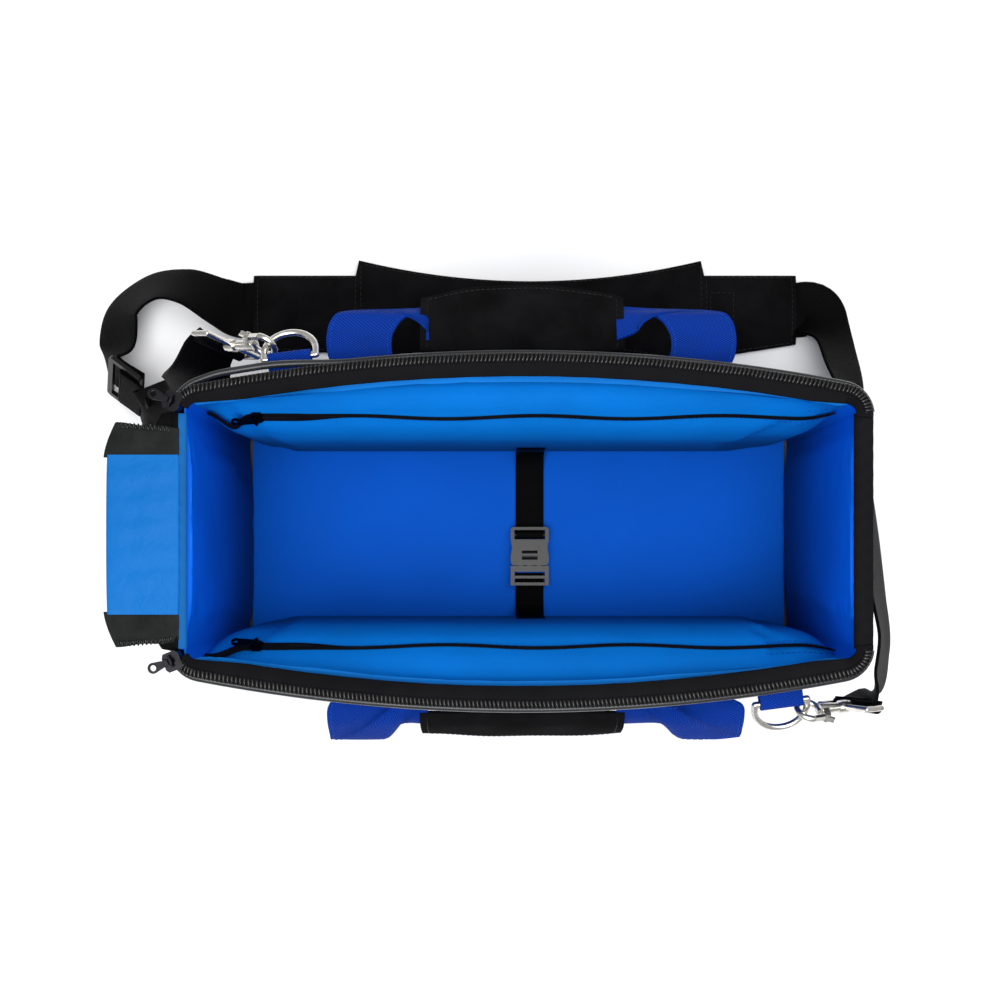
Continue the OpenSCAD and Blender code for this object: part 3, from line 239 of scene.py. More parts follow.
def run_lengths(points):
    """Distance along the points at each of them."""
    runs = [0.0]
    for a, b in zip(points, points[1:]):
        runs.append(runs[-1] + (b - a).length)
    return runs


def cloth_grid(name, nu, nv, place):
    """A grid laid out by place(u, v), with its UV map in metres along the cloth."""
    bpy.ops.object.select_all(action="DESELECT")
    bpy.ops.mesh.primitive_grid_add(x_subdivisions=nu, y_subdivisions=nv, size=1, calc_uvs=True)
    o = bpy.context.object
    o.name = name
    o.data.name = name
    where = [(v.co.x + 0.5, v.co.y + 0.5) for v in o.data.vertices]
    for v, (a, b) in zip(o.data.vertices, where):
        v.co = place(a, b)
    length = run_lengths([place(i / 24, 0.5) for i in range(25)])[-1]
    width = run_lengths([place(0.5, i / 24) for i in range(25)])[-1]
    layer = o.data.uv_layers.active.data
    for loop in o.data.loops:
        a, b = where[loop.vertex_index]
        layer[loop.index].uv = (a * length, b * width)
    return o


def thick(o, t, offset=-1.0, edge=0.0):
    """Cloth with thickness t in millimetres, and its raw edges rounded."""
    m = o.modifiers.new("Thickness", "SOLIDIFY")
    m.thickness = t * MM
    m.offset = offset
    m.use_even_offset = False
    if edge:
        b = o.modifiers.new("Edge", "BEVEL")
        b.width = edge * MM
        b.segments = 2
        b.limit_method = "ANGLE"
        b.angle_limit = radians(60)
    applied(o)
    return settled(o)


def tube_loft(name, nu, nv, place):
    """A closed form: rings of points place(u, v), with v running once round, and filled ends."""
    o = cloth_grid(name, nu, nv, place)
    only(o)
    bpy.ops.object.mode_set(mode="EDIT")
    bpy.ops.mesh.select_all(action="SELECT")
    bpy.ops.mesh.remove_doubles(threshold=0.00002)
    bpy.ops.mesh.select_all(action="DESELECT")
    bpy.ops.mesh.select_mode(type="EDGE")
    bpy.ops.mesh.select_non_manifold()
    bpy.ops.mesh.fill_holes(sides=0)
    bpy.ops.mesh.select_mode(type="VERT")
    bpy.ops.object.mode_set(mode="OBJECT")
    return settled(o)


def spline(points, t):
    """Catmull-Rom through points at t in 0..1."""
    n = len(points) - 1
    k = min(int(t * n), n - 1)
    f = t * n - k
    p = [points[max(0, k - 1)], points[k], points[k + 1], points[min(n, k + 2)]]
    return 0.5 * ((2 * p[1]) + (p[2] - p[0]) * f + (2 * p[0] - 5 * p[1] + 4 * p[2] - p[3]) * f * f
                  + (3 * p[1] - p[0] - 3 * p[2] + p[3]) * f ** 3)


def webbing(name, stations, width, t, per=10, across=4, curl=0.0):
    """Woven strap of real width and thickness through stations [centre, width direction], mm."""
    centres = [Vector(s[0]) for s in stations]
    sides = [Vector(s[1]).normalized() for s in stations]
    n = per * (len(stations) - 1)
    # even spacing along the length
    fine = 8 * n
    runs = run_lengths([spline(centres, i / fine) for i in range(fine + 1)])
    rows = []
    j = 0
    for i in range(n + 1):
        want = runs[-1] * i / n
        while j < fine - 1 and runs[j + 1] < want:
            j += 1
        f = 0 if runs[j + 1] == runs[j] else (want - runs[j]) / (runs[j + 1] - runs[j])
        k = (j + f) / fine
        rows.append((spline(centres, k), spline(sides, k).normalized()))
    frames = []
    for i, (c, s) in enumerate(rows):
        along = (rows[min(n, i + 1)][0] - rows[max(0, i - 1)][0]).normalized()
        face = along.cross(s).normalized()
        frames.append((c, face.cross(along).normalized(), face))

    def place(u, v):
        c, side, face = frames[round(u * n)]
        v -= 0.5
        return (c + side * (width * v) + face * (curl * (0.25 - v * v) * 4)) * MM
    return thick(cloth_grid(name, n, across, place), t, 0.0, t * 0.3)


def wires(name, lines, radius, rounding=1):
    """Round wires of one piece: each line is a list of points in metres, the radius in mm."""
    bpy.ops.object.select_all(action="DESELECT")
    bpy.ops.curve.primitive_nurbs_path_add()
    o = bpy.context.object
    o.name = name
    c = o.data
    c.splines.clear()
    for line in lines:
        s = c.splines.new("POLY")
        s.points.add(len(line) - 1)
        for p, q in zip(s.points, line):
            p.co = (*q, 1)
    c.bevel_depth = radius * MM
    c.bevel_resolution = rounding
    c.use_fill_caps = True
    only(o)
    bpy.ops.object.convert(target="MESH")
    o = bpy.context.object
    o.data.name = name
    return settled(o)


def stitched(name, rows, paint, body, radius=0.32, long=3.0, gap=1.7):
    """Rows of short threads: each row is a list of points in metres that lie on the cloth."""
    threads = []
    for row in rows:
        runs = run_lengths(row)

        def at(d):
            i = next((i for i, end in enumerate(runs[1:]) if d <= end), len(row) - 2)
            return row[i].lerp(row[i + 1], (d - runs[i]) / max(1e-9, runs[i + 1] - runs[i]))
        d = gap * MM
        while d + long * MM < runs[-1]:
            threads.append([at(d + k * long * MM) for k in (0, 0.5, 1)])
            d += (long + gap) * MM
    return dressed(wires(name, threads, radius), paint, body, angle=60)


def joined(name, parts):
    only(*parts)
    if len(parts) > 1:
        bpy.ops.object.join()
    o = bpy.context.object
    o.name = name
    o.data.name = name
    return o


def painted(o, paint):
    o.data.materials.clear()
    o.data.materials.append(PAINTS[paint])


def dressed(o, paint, body, *nodes, angle=40):
    """Smooth shading, material, body and the CAD nodes that the piece stands for."""
    painted(smoothed(o, angle), paint)
    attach(o, body)
    if nodes:
        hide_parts(*nodes)
    return o


CLOTH_STIFFNESS, CLOTH_FRAMES = 12.0, 16


def puffed(o, pressure, cap):
    """Fills a padded piece by a short cloth run, and holds back what moves by more than cap mm."""
    rest = [v.co.copy() for v in o.data.vertices]
    m = o.modifiers.new("Cloth", "CLOTH")
    s = m.settings
    s.quality = 6
    s.mass = 0.2
    s.tension_stiffness = CLOTH_STIFFNESS
    s.compression_stiffness = CLOTH_STIFFNESS
    s.shear_stiffness = CLOTH_STIFFNESS * 0.6
    s.bending_stiffness = 0.6
    s.use_pressure = True
    s.uniform_pressure_force = pressure
    s.effector_weights.gravity = 0
    m.collision_settings.use_collision = False
    m.point_cache.frame_start = 1
    m.point_cache.frame_end = CLOTH_FRAMES
    scene = bpy.context.scene
    for f in range(1, CLOTH_FRAMES + 1):
        scene.frame_set(f)
    applied(o)
    scene.frame_set(1)
    for v, p in zip(o.data.vertices, rest):
        d = v.co - p
        if d.length > cap * MM:
            v.co = p + d * (cap * MM / d.length)
    return o


# ---------------------------------------------------------------- materials
class Paint:
    """Short way to lay out the nodes of one material."""

    def __init__(self, name, **settings):
        self.m = bpy.data.materials.new(name)
        self.m.use_nodes = True
        self.t = self.m.node_tree
        self.b = self.t.nodes["Principled BSDF"]
        for k, v in settings.items():
            self.b.inputs[k.replace("_", " ")].default_value = v

    def node(self, kind, values={}, **props):
        n = self.t.nodes.new(kind)
        for k, v in props.items():
            setattr(n, k, v)
        for k, v in values.items():
            n.inputs[k].default_value = v
        return n

    def link(self, a, b):
        self.t.links.new(a, b)

    def math(self, op, a, b=None):
        n = self.node("ShaderNodeMath", operation=op)
        for socket, v in zip(n.inputs, (a, b)):
            if isinstance(v, (int, float)):
                socket.default_value = v
            elif v is not None:
                self.link(v, socket)
        return n.outputs[0]

    def uv(self):
        n = self.node("ShaderNodeUVMap")
        s = self.node("ShaderNodeSeparateXYZ")
        self.link(n.outputs[0], s.inputs[0])
        return s.outputs[0], s.outputs[1]

    def noise(self, scale, detail=3.0, rough=0.5):
        n = self.node("ShaderNodeTexNoise", {"Scale": scale, "Detail": detail, "Roughness": rough})
        self.link(self.node("ShaderNodeTexCoord").outputs["Object"], n.inputs["Vector"])
        return n.outputs["Fac"]

    def ramp(self, fac, low, high, a=0.3, b=0.7):
        n = self.node("ShaderNodeValToRGB")
        for stop, place, colour in zip(n.color_ramp.elements, (a, b), (low, high)):
            stop.position = place
            stop.color = (*colour, 1)
        self.link(fac, n.inputs[0])
        return n.outputs[0]

    def blend(self, fac, a, b):
        n = self.node("ShaderNodeMix", data_type="RGBA")
        self.link(fac, n.inputs[0])
        for i, v in ((6, a), (7, b)):
            if isinstance(v, tuple):
                n.inputs[i].default_value = (*v, 1)
            else:
                self.link(v, n.inputs[i])
        return n.outputs[2]

    def colour(self, socket):
        self.link(socket, self.b.inputs["Base Color"])

    def bump(self, height, strength, distance, after=None):
        n = self.node("ShaderNodeBump", {"Strength": strength, "Distance": distance})
        self.link(height, n.inputs["Height"])
        if after is not None:
            self.link(after, n.inputs["Normal"])
        self.link(n.outputs[0], self.b.inputs["Normal"])
        return n.outputs[0]


def scaled(c, k):
    return tuple(min(1.0, v * k) for v in c)


def woven(name, colour, pitch, rough, sheen, depth, shine=0.3, diagonal=False, wear=0.12, painted_shade=None,
          creases=0.25):
    """Plain or twill cloth: threads from the UV map in metres, colour that drifts, soft wrinkles.

    With painted shade (low, high, least), cloth below height high darkens toward low, standing in for the
    shade deep inside the bag."""
    p = Paint(name, Roughness=rough, Sheen_Weight=sheen, Sheen_Roughness=0.4,
              Sheen_Tint=(*scaled(colour, 1.5), 1), Specular_IOR_Level=shine)
    u, v = p.uv()
    k = pi / (pitch * MM)
    if diagonal:
        wave = p.math("SINE", p.math("MULTIPLY", p.math("ADD", u, p.math("MULTIPLY", v, 0.7)), 1.4 * k))
    else:
        wave = p.math("MULTIPLY", *(p.math("SINE", p.math("MULTIPLY", way, k)) for way in (u, v)))
    height = p.math("ADD", p.math("MULTIPLY", wave, 0.5), 0.5)
    base = p.ramp(p.noise(9, 4), scaled(colour, 1 - wear), scaled(colour, 1 + wear))
    # painted shade: below height high the colour falls toward least of itself at height low
    if painted_shade:
        z = p.node("ShaderNodeSeparateXYZ")
        p.link(p.node("ShaderNodeTexCoord").outputs["Object"], z.inputs[0])
        r = p.node("ShaderNodeMapRange", {"From Min": painted_shade[0], "From Max": painted_shade[1]},
                   interpolation_type="SMOOTHSTEP")
        p.link(z.outputs[2], r.inputs["Value"])
        base = p.blend(r.outputs[0], scaled(colour, painted_shade[2]), base)
        p.colour(p.blend(p.math("MULTIPLY", height, 0.22), base, scaled(colour, 0.2)))
    else:
        p.colour(p.blend(height, base, scaled(colour, 0.72)))
    first = p.bump(p.noise(38, 4, 0.55), creases, 0.003)
    p.bump(height, depth, 0.00025, first)
    return p.m


WEB_THREAD = 0.0016


def ribbed(name, colour, pitch, rough, shine):
    """Webbing: ribs across the strap, shifted from row to row, and threads along it."""
    p = Paint(name, Roughness=rough, Specular_IOR_Level=shine)
    u, v = p.uv()
    row = p.math("FLOOR", p.math("DIVIDE", v, WEB_THREAD))
    shift = p.math("MULTIPLY", p.math("MODULO", row, 2.0), pi / 2)
    along = p.math("MULTIPLY", u, pi / (pitch * MM))
    rib = p.math("ABSOLUTE", p.math("SINE", p.math("ADD", along, shift)))
    cord = p.math("ABSOLUTE", p.math("SINE", p.math("MULTIPLY", v, pi / WEB_THREAD)))
    height = p.math("MULTIPLY", p.math("POWER", rib, 1.7), p.math("ADD", p.math("MULTIPLY", cord, 0.6), 0.4))
    base = p.ramp(p.noise(14, 4), scaled(colour, 0.86), scaled(colour, 1.12))
    p.colour(p.blend(height, scaled(colour, 0.3), base))
    first = p.bump(p.noise(22, 3), 0.2, 0.002)
    p.bump(height, 1.0, 0.0004, first)
    return p.m


def suede(name, colour):
    p = Paint(name, Roughness=0.95, Specular_IOR_Level=0.02)
    brushed = p.noise(26, 5, 0.6)
    p.colour(p.ramp(brushed, scaled(colour, 0.7), scaled(colour, 1.5), 0.35, 0.7))
    first = p.bump(brushed, 0.3, 0.0015)
    p.bump(p.noise(900, 3, 0.6), 0.4, 0.0003, first)
    return p.m


def metal(name, colour, rough):
    """Metal with smudges and small dark marks."""
    p = Paint(name, Metallic=1.0)
    r = p.node("ShaderNodeMapRange", {"To Min": rough * 0.7, "To Max": rough * 1.6})
    p.link(p.noise(60, 5, 0.6), r.inputs["Value"])
    p.link(r.outputs[0], p.b.inputs["Roughness"])
    p.colour(p.ramp(p.noise(220, 4), scaled(colour, 0.75), colour, 0.3, 0.55))
    p.bump(p.noise(350, 3), 0.06, 0.0002)
    return p.m


def plastic(name, colour, rough, grain, shine=0.5):
    p = Paint(name, Roughness=rough, Specular_IOR_Level=shine)
    p.colour(p.ramp(p.noise(40, 4), scaled(colour, 0.85), scaled(colour, 1.2)))
    p.bump(p.noise(700, 3), grain, 0.0002)
    return p.m


# ---------------------------------------------------------------- what a user would change
class BagSizes(bpy.types.PropertyGroup):
    weave: FloatProperty(name="Lining thread", description="Thread spacing of the lining, in millimetres",
                         default=0.7, min=0.3, max=2.0)
    rib: FloatProperty(name="Webbing rib", description="Spacing of the webbing's ribs, in millimetres",
                       default=1.9, min=0.8, max=4.0)
    coil_pitch: FloatProperty(name="Coil pitch", default=3.0, min=2.0, max=5.0,
                              description="Spacing of the main zip's turns, in millimetres")
    fill: FloatProperty(name="Pad fill", description="How full the pads are", default=0.7, min=0, max=1,
                        subtype="FACTOR")
    backdrop: FloatProperty(name="Floor size", description="Half width of the floor", default=3.0,
                            min=1.0, max=10.0, unit="LENGTH")


def colour_property(name, description, value):
    return FloatVectorProperty(name=name, description=description, default=value, size=3, min=0, max=1,
                               subtype="COLOR")


class BagColours(bpy.types.PropertyGroup):
    lining: colour_property("Lining", "Cloth of the side pads", (0.0, 0.165, 0.6))
    ends: colour_property("Ends", "Cloth of the end pads and the floor", (0.0, 0.14, 0.85))
    flap: colour_property("Flap", "Cloth of the end flap and the left seam", (0.002, 0.135, 0.46))
    shell: colour_property("Shell", "Outer cloth", (0.006, 0.06, 0.36))
    handle: colour_property("Handle webbing", "Handles and ring tabs", (0.002, 0.045, 0.4))
    strap: colour_property("Strap webbing", "Shoulder and hold-down straps", (0.0025, 0.0025, 0.003))
    suede: colour_property("Suede", "Shoulder pad, grips, corners and gussets", (0.0045, 0.0045, 0.005))
    tape: colour_property("Tape", "Zip tapes, bindings and base cover", (0.0045, 0.0045, 0.0055))
    coil: colour_property("Coil", "Coils of the zips", (0.006, 0.006, 0.0065))
    nickel: colour_property("Nickel", "Rings and hooks", (0.72, 0.7, 0.66))
    gunmetal: colour_property("Gunmetal", "Sliders and pulls", (0.013, 0.013, 0.015))


def sizes():
    return bpy.context.scene.bag_sizes


class BAG_OT_materials(bpy.types.Operator):
    """Make the materials and put them on the CAD pieces that stay in view"""
    bl_idname = "bag.materials"
    bl_label = "Materials"

    def execute(self, context):
        c, s = context.scene.bag_colours, sizes()
        soft = dict(rough=0.62, sheen=0.02, depth=0.3, shine=0.12)
        PAINTS.update(
            # the side and end linings get painted shade, darker toward the bottom of the bag
            lining=woven("Blue lining", c.lining, s.weave, **soft, painted_shade=(0.05, 0.2, 0.3)),
            royal=woven("Royal blue lining", c.ends, s.weave, **soft, painted_shade=(0.02, 0.225, 0.16)),
            # the floor's lining is the end pads' colour darkened to 0.62, as painted shade at the bottom of
            # the bag
            floor=woven("Blue floor lining with painted shade", scaled(c.ends, 0.62), s.weave, 0.7, 0.0, 0.3, 0.06),
            # the left seam strip is the flap's cloth darkened to 0.7, as painted shade
            edge=woven("Blue edging", scaled(c.flap, 0.7), s.weave, **soft),
            trim=suede("Grey suede trim", (0.014, 0.015, 0.015)),
            flap=woven("Blue flap cloth", c.flap, s.weave * 1.4, 0.5, 0.02, 0.5, 0.1, creases=1.0),
            shell=woven("Blue shell cloth", c.shell, 1.0, 0.7, 0.05, 0.6),
            tape=woven("Black twill tape", c.tape, 1.3, 0.5, 0.0, 1.0, 0.05, diagonal=True, wear=0.15),
            blue_web=ribbed("Blue webbing", c.handle, s.rib, 0.6, 0.06),
            black_web=ribbed("Black webbing", c.strap, s.rib, 0.5, 0.03),
            suede=suede("Black suede", c.suede),
            thread=plastic("Black thread", (0.009, 0.009, 0.01), 0.5, 0.2, 0.15),
            blue_thread=plastic("Blue thread", (0.0, 0.06, 0.36), 0.55, 0.2, 0.1),
            nickel=metal("Nickel", c.nickel, 0.22),
            gunmetal=metal("Gunmetal", c.gunmetal, 0.3),
            steel=metal("Steel", (0.5, 0.5, 0.5), 0.35),
            coil=plastic("Zip coil", c.coil, 0.2, 0.03, 0.3),
            piping=plastic("Grey piping", (0.016, 0.018, 0.02), 0.3, 0.12, 0.35),
            buckle=plastic("Black plastic", (0.004, 0.004, 0.0045), 0.3, 0.1, 0.28),
            board=plastic("Base board", (0.05, 0.05, 0.05), 0.8, 0.2))
        both = {"nickel": ("d_ring", "hook", "hook_gate", "swivel"),
                "gunmetal": ("pocket_slider", "pocket_pull", "main_slider", "main_pull")}
        by_node = {paint: [f"{word}_{name}" for _, word in SIDES for name in names]
                   for paint, names in both.items()}
        by_node.update(buckle=["strap_adjuster", "buckle_socket", "buckle_plug"], steel=["rim_frames"],
                       board=["base_board"])
        for paint, names in by_node.items():
            for name in names:
                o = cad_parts[name]
                painted(o, paint)
                for f in o.data.polygons:
                    f.use_smooth = False
        return {"FINISHED"}


class BAG_OT_shell(bpy.types.Operator):
    """Outer walls, corner panels, base cover and their stitches"""
    bl_idname = "bag.shell"
    bl_label = "Shell"

    def execute(self, context):
        z1 = RIM_H - 5
        for side, word in SIDES:
            def long_wall(u, v):
                z = mix(BASE_T, z1, v)
                x = mix(-1, 1, u) * corner_x(z)
                swell = 1.2 * sin(pi * v) * sin(3.1 * u * pi) ** 2
                swell *= 1 - smooth((v - 0.6) / 0.2)
                return point(x, side * (side_y(x, z) + swell), z)
            o = thick(cloth_grid(word + "_wall_cloth", 96, 32, long_wall), WALL_T, side, 0.8)
            dressed(o, "shell", "bag", word + "_wall")
        for end, word in ENDS:
            def end_wall(u, v):
                z = mix(BASE_T, z1, v)
                swell = 1.5 * sin(pi * v) * sin(pi * u)
                return point(end * (half_l(z) + swell), mix(-1, 1, u) * corner_cy(z), z)
            o = thick(cloth_grid(word + "_wall_cloth", 32, 32, end_wall), WALL_T, -end, 0.8)
            dressed(o, "shell", "bag", word + "_wall")
        corners = []
        for sx, sy in CORNERS:
            def corner(u, v):
                z = mix(BASE_T, z1, v)
                a = mix(0, pi / 2 - tilt(z), u)
                r = CORNER_R + 0.3
                x, y = corner_cx(z) + r * cos(a), corner_cy(z) + r * sin(a)
                return point(sx * x, sy * y, z)
            corners.append(thick(cloth_grid("corner", 14, 32, corner), WALL_T, -sx * sy, 0.8))
        dressed(joined("corner_cloth", corners), "suede", "bag", "corner_panels")

        def base(u, v):
            a = 2 * pi * v
            inset = CORNER_R + 0.8 * abs(2 * u - 1) ** 3
            c, s = cos(a), sin(a)
            k = 1 / max(abs(c), abs(s))
            x, y = clip((c * k + 1) / 2) * 2 - 1, clip((s * k + 1) / 2) * 2 - 1
            return point(x * (BASE_LEN / 2 - inset) + CORNER_R * c, y * (BASE_WID / 2 - inset) + CORNER_R * s,
                         BASE_T * u)
        dressed(tube_loft("base_cover_cloth", 5, 96, base), "tape", "bag", "base_cover")
        rows, heights = [], range(10, 229, 6)
        for side in (FRONT, BACK):
            def on_wall(x, z):
                return point(x, side * (side_y(x, z) + 0.35), z)
            rows += [[on_wall(k * (corner_x(z) - 4), z) for z in heights] for k in (-1, 1)]
            rows.append([on_wall(mix(-1, 1, i / 80) * (corner_x(12) - 6), 12) for i in range(81)])
        rows += [[point(end * (half_l(z) + 0.6), k * (corner_cy(z) - 4), z) for z in heights]
                 for end in (LEFT, RIGHT) for k in (-1, 1)]
        stitched("shell_thread", rows, "blue_thread", "bag", 0.32, 3.2, 1.8)
        return {"FINISHED"}


def side_pad(side):
    """One closed side pad: outer face on the wall, inner face flaring at the top, soft round edges."""
    def place(u, v):
        k = mix(-cos(pi * u), 2 * u - 1, 0.65)
        # once round: up the outer face, over the lip, down the inner face, back under the foot
        if v < 0.42:
            z, inward = mix(PAD_Z0, PAD_Z1, v / 0.42), 0
        elif v < 0.5:
            z, inward = PAD_Z1, (v - 0.42) / 0.08
        elif v < 0.94:
            z, inward = mix(PAD_Z1, PAD_Z0, (v - 0.5) / 0.44), 1
        else:
            z, inward = PAD_Z0, 1 - (v - 0.94) / 0.06
        x = k * (half_l(z) - PAD_END)
        wall = inner_y(x, z, PAD_DEPTH)
        face = pad_face_y(x, z) + ZIP_GROOVE * exp(-((z - POCKET_Z) / 5) ** 2)
        return point(x + 2.4 * k ** 9, side * mix(wall, face, inward), z)
    return place


class BAG_OT_pads(bpy.types.Operator):
    """Padded lining: floor, two sides with flared lips, two ends, and the cloth in the corners"""
    bl_idname = "bag.pads"
    bl_label = "Pads"

    def execute(self, context):
        for side, word in SIDES:
            o = puffed(tube_loft(word + "_pad_cloth", 96, 84, side_pad(side)), 3.0, 2.2)
            dressed(o, "lining", "bag", word + "_pad", angle=60)
        for end, word in ENDS:
            def end_pad(u, v):
                y = mix(-1, 1, u)
                a = 2 * pi * v
                z = mix(PAD_Z0, RIM_H - 8, 0.5 - 0.5 * cos(a))
                deep = END_PAD_T - 2 * y ** 4 if sin(a) > 0 else 0
                soft = min(1, abs(sin(a)) * 6)
                return point(end * (half_l(z) - PAD_DEPTH - deep * soft), y * (corner_cy(z) - GAP + 3.5), z)
            o = puffed(tube_loft(word + "_pad_cloth", 36, 96, end_pad), 3.0, 1.5)
            dressed(o, "royal", "bag", word + "_pad", angle=60)
        corners = []
        for sx, sy in CORNERS:
            def turn(u, v):
                z = mix(PAD_Z0, RIM_H - 9, v)
                r = CORNER_R - PAD_DEPTH - 4 + 2 * sin(pi * u)
                a = mix(-0.1, pi / 2 + 0.1, u)
                # its two edges run on behind the end pad and beside the side pad
                y_edge, x_edge = max(0, 0.12 - u) / 0.12, max(0, u - 0.88) / 0.12
                x = corner_cx(z) + r * cos(a) - 6 * x_edge
                y = corner_cy(z) + r * sin(a) - 10 * y_edge + 6 * x_edge
                return point(sx * min(x, half_l(z) - PAD_DEPTH - 2), sy * y, z)
            corners.append(thick(cloth_grid("corner_lining", 24, 24, turn), 1.5, 0.0, 0.3))
        dressed(joined("corner_lining", corners), "royal", "bag", angle=60)
        x0, x1, _, y1, z0, z1 = in_mm(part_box("floor_pad"))

        def floor(u, v):
            a = 2 * pi * v
            wide = y1 + 2.5
            y = -cos(a) * wide
            crown = 3 * (1 - abs(2 * u - 1) ** 8) * (1 - (y / wide) ** 4)
            return point(mix(x0 - 2, x1 + 2, u), y, cushion_z(a, z1 - 3 + crown, z0, (z0 + z1) / 2 - 2, 4))
        o = tube_loft("floor_pad_cloth", 64, 96, floor)
        dressed(o, "floor", "bag", "floor_pad", angle=60)
        return {"FINISHED"}


class BAG_OT_rim(bpy.types.Operator):
    """Tape, coil, binding and piping round the mouth, and the seams over the end walls"""
    bl_idname = "bag.rim"
    bl_label = "Rim"

    def execute(self, context):
        pipes, bands = [], []
        for side, word in SIDES:
            def tape(u, v):
                s = mix(-1, RIM_RUN + 5, u)
                d = v * mix(11.5, 15.6, smooth(min(s, RIM_RUN - s) / 60))
                ripple = (0.3 * sin(s * 0.21) + 0.35 * sin(s * 0.047 + side)) * v
                return rim_point(s, d, tape_z(d) + ripple - 0.1, side)
            o = thick(cloth_grid(word + "_tape", 240, 12, tape), TAPE_T, -side, 0.6)
            dressed(o, "tape", "bag", word + "_rim_tape")
            pitch = sizes().coil_pitch
            points = []
            for i in range(int((RIM_RUN - 2) / pitch) * 12 + 1):
                a = 2 * pi * i / 12
                d, z = COIL_IN + COIL_HALF * rounded(cos(a), 0.6), RIM_H + 1.5 + rounded(sin(a), 0.8)
                points.append(rim_point(4 + i * pitch / 12, d, z, side))
            coil = wires(word + "_coil", [points], COIL_WIRE)
            dressed(coil, "coil", "bag", word + "_zip_coil", angle=60)
            rows = [[rim_point(8 + (RIM_RUN - 12) * i / 200, d, tape_z(d) + 0.25, side) for i in range(201)]
                    for d in (7.2, 10.8)]
            stitched(word + "_tape_thread", rows, "thread", "bag", 0.26, 2.4, 1.4)

        for side in (FRONT, BACK):
            def band(u, v):
                return rim_point(mix(1, RIM_RUN - 1, u), mix(1.3, -0.4, v), RIM_H - mix(13, 0.8, v), side)
            bands.append(thick(cloth_grid("band", 160, 6, band), 1.1, side, 0.3))
            points = []
            for i in range(161):
                s = RIM_RUN * i / 160
                loose = 5.0 * smooth(s / 40) * smooth((136 - s) / 70) * (side == BACK)
                points.append(rim_point(s, -PIPE_OUT - loose, RIM_H - PIPE_DROP + 0.3 * loose, side))
            pipes.append(wires("pipe", [points], PIPE_R, 2))
        dressed(joined("rim_piping_bead", pipes), "piping", "bag", "rim_piping", angle=60)
        dressed(joined("rim_binding", bands), "tape", "bag")
        seam_y = corner_cy(RIM_H) + 1
        seam_in = half_l(RIM_H) - PAD_DEPTH - END_PAD_T
        for end, node, inner, outer, top, paint in (
                (LEFT, "left_seam_strip", seam_in + 1.6, seam_in + 6.5, RIM_H - 2.8, "edge"),
                (RIGHT, "right_seam_strip", seam_in - 0.6, half_l(RIM_H) + 0.4, RIM_H - 1.6, "tape")):
            def strip(u, v):
                y = mix(-seam_y, seam_y, u)
                z = mix(RIM_H - 4, top, min(1, v * 2.2) ** 0.6)
                return point(end * mix(inner, outer, v), y, z + 0.3 * sin(y * 0.5))
            o = thick(cloth_grid(node + "_cloth", 64, 10, strip), 1.6, -end, 0.4)
            dressed(o, paint, "bag", node)
            rows = [[strip(i / 80, v) + point(0, 0, 0.3) for i in range(81)] for v in (0.45, 0.8)]
            stitched(node + "_thread", rows, "thread", "bag", 0.3, 2.6, 1.4)
        return {"FINISHED"}


class BAG_OT_pockets(bpy.types.Operator):
    """Pocket zips lying on the side pads"""
    bl_idname = "bag.pockets"
    bl_label = "Pocket zips"

    def execute(self, context):
        reach = half_l(POCKET_Z) - PAD_END
        left, right = 1.5 - reach, reach - 0.5
        for side, word in SIDES:
            def zip_z(x):
                wave = 1.5 * sin(x * 0.045 + 1.0) * smooth((x + 190) / 60)
                end = -12 * exp(-((x + 222) / 9) ** 2) if side == BACK else 9 * smooth((-208 - x) / 26)
                return POCKET_Z + wave + end

            def on_pad(x, z, proud):
                return point(x, side * (pad_face_y(x, z) - proud), z)

            def tape(u, v):
                x = mix(left, right, u)
                width = mix(POCKET_TAPE, POCKET_TAPE_THIN, smooth((x + 175) / 50))
                return on_pad(x, zip_z(x) + (v - 0.5) * width, 1.6)
            o = thick(cloth_grid(word + "_pocket_tape", 200, 6, tape), 1.0, side, 0.3)
            teeth = []
            for i in range(int((right - left - 6) / 0.5)):
                x, a = left + 3 + i * 0.5, pi * i / 2
                teeth.append(on_pad(x, zip_z(x) + 1.15 * cos(a), 2.5 + 0.4 * sin(a)))
            coil = wires(word + "_pocket_coil", [teeth], 0.42, 0)
            dressed(coil, "coil", "bag", angle=60)
            xs = [mix(left + 4, right - 4, i / 160) for i in range(161)]
            rows = [[on_pad(x, zip_z(x) + h, 0.9) for x in xs] for h in (-5.4, 5.4)]
            stitched(word + "_pocket_thread", rows, "blue_thread", "bag", 0.3, 2.6, 1.6)
            dressed(o, "tape", "bag", word + "_pocket_zip")
        return {"FINISHED"}


HANDLE_SHIFT, HANDLE_SPAN, HANDLE_Z, WEB_W, WEB_T = 8, 248, 196, 48, 2.4
GRIP_LEN, GRIP_SHIFT, GRIP_H, GRIP_T, GRIP_IN = 155, -7, 56, 9, 14


def run_off(z):
    """How far the sewn webbing's middle stands off the wall."""
    return 0.6 + WEB_T / 2 + 1.4 * smooth((z - HANDLE_Z + 34) / 30)


HANDLE_Y = side_y(HANDLE_SHIFT + HANDLE_SPAN / 2, HANDLE_Z) + run_off(HANDLE_Z) + 1


def fall(side, c):
    """Slope of a loose handle at distance c from its hinge, in degrees."""
    return 16 if side == BACK else 12 + 58 * smooth((c - 8) / 22)


def profile(side, c):
    """Way out and up from the hinge to distance c along the handle."""
    y = z = 0.0
    n = max(1, int(abs(c)))
    for i in range(n):
        a = radians(fall(side, c * (i + 0.5) / n))
        y += c / n * cos(a)
        z -= c / n * sin(a)
    return y, z


def handle_point(side, x, c, h):
    """Point in millimetres at distance c along the handle, h above its middle."""
    y, z = profile(side, c)
    a = radians(fall(side, c))
    return Vector((x, side * (HANDLE_Y + y + h * sin(a)), HANDLE_Z + z + h * cos(a)))


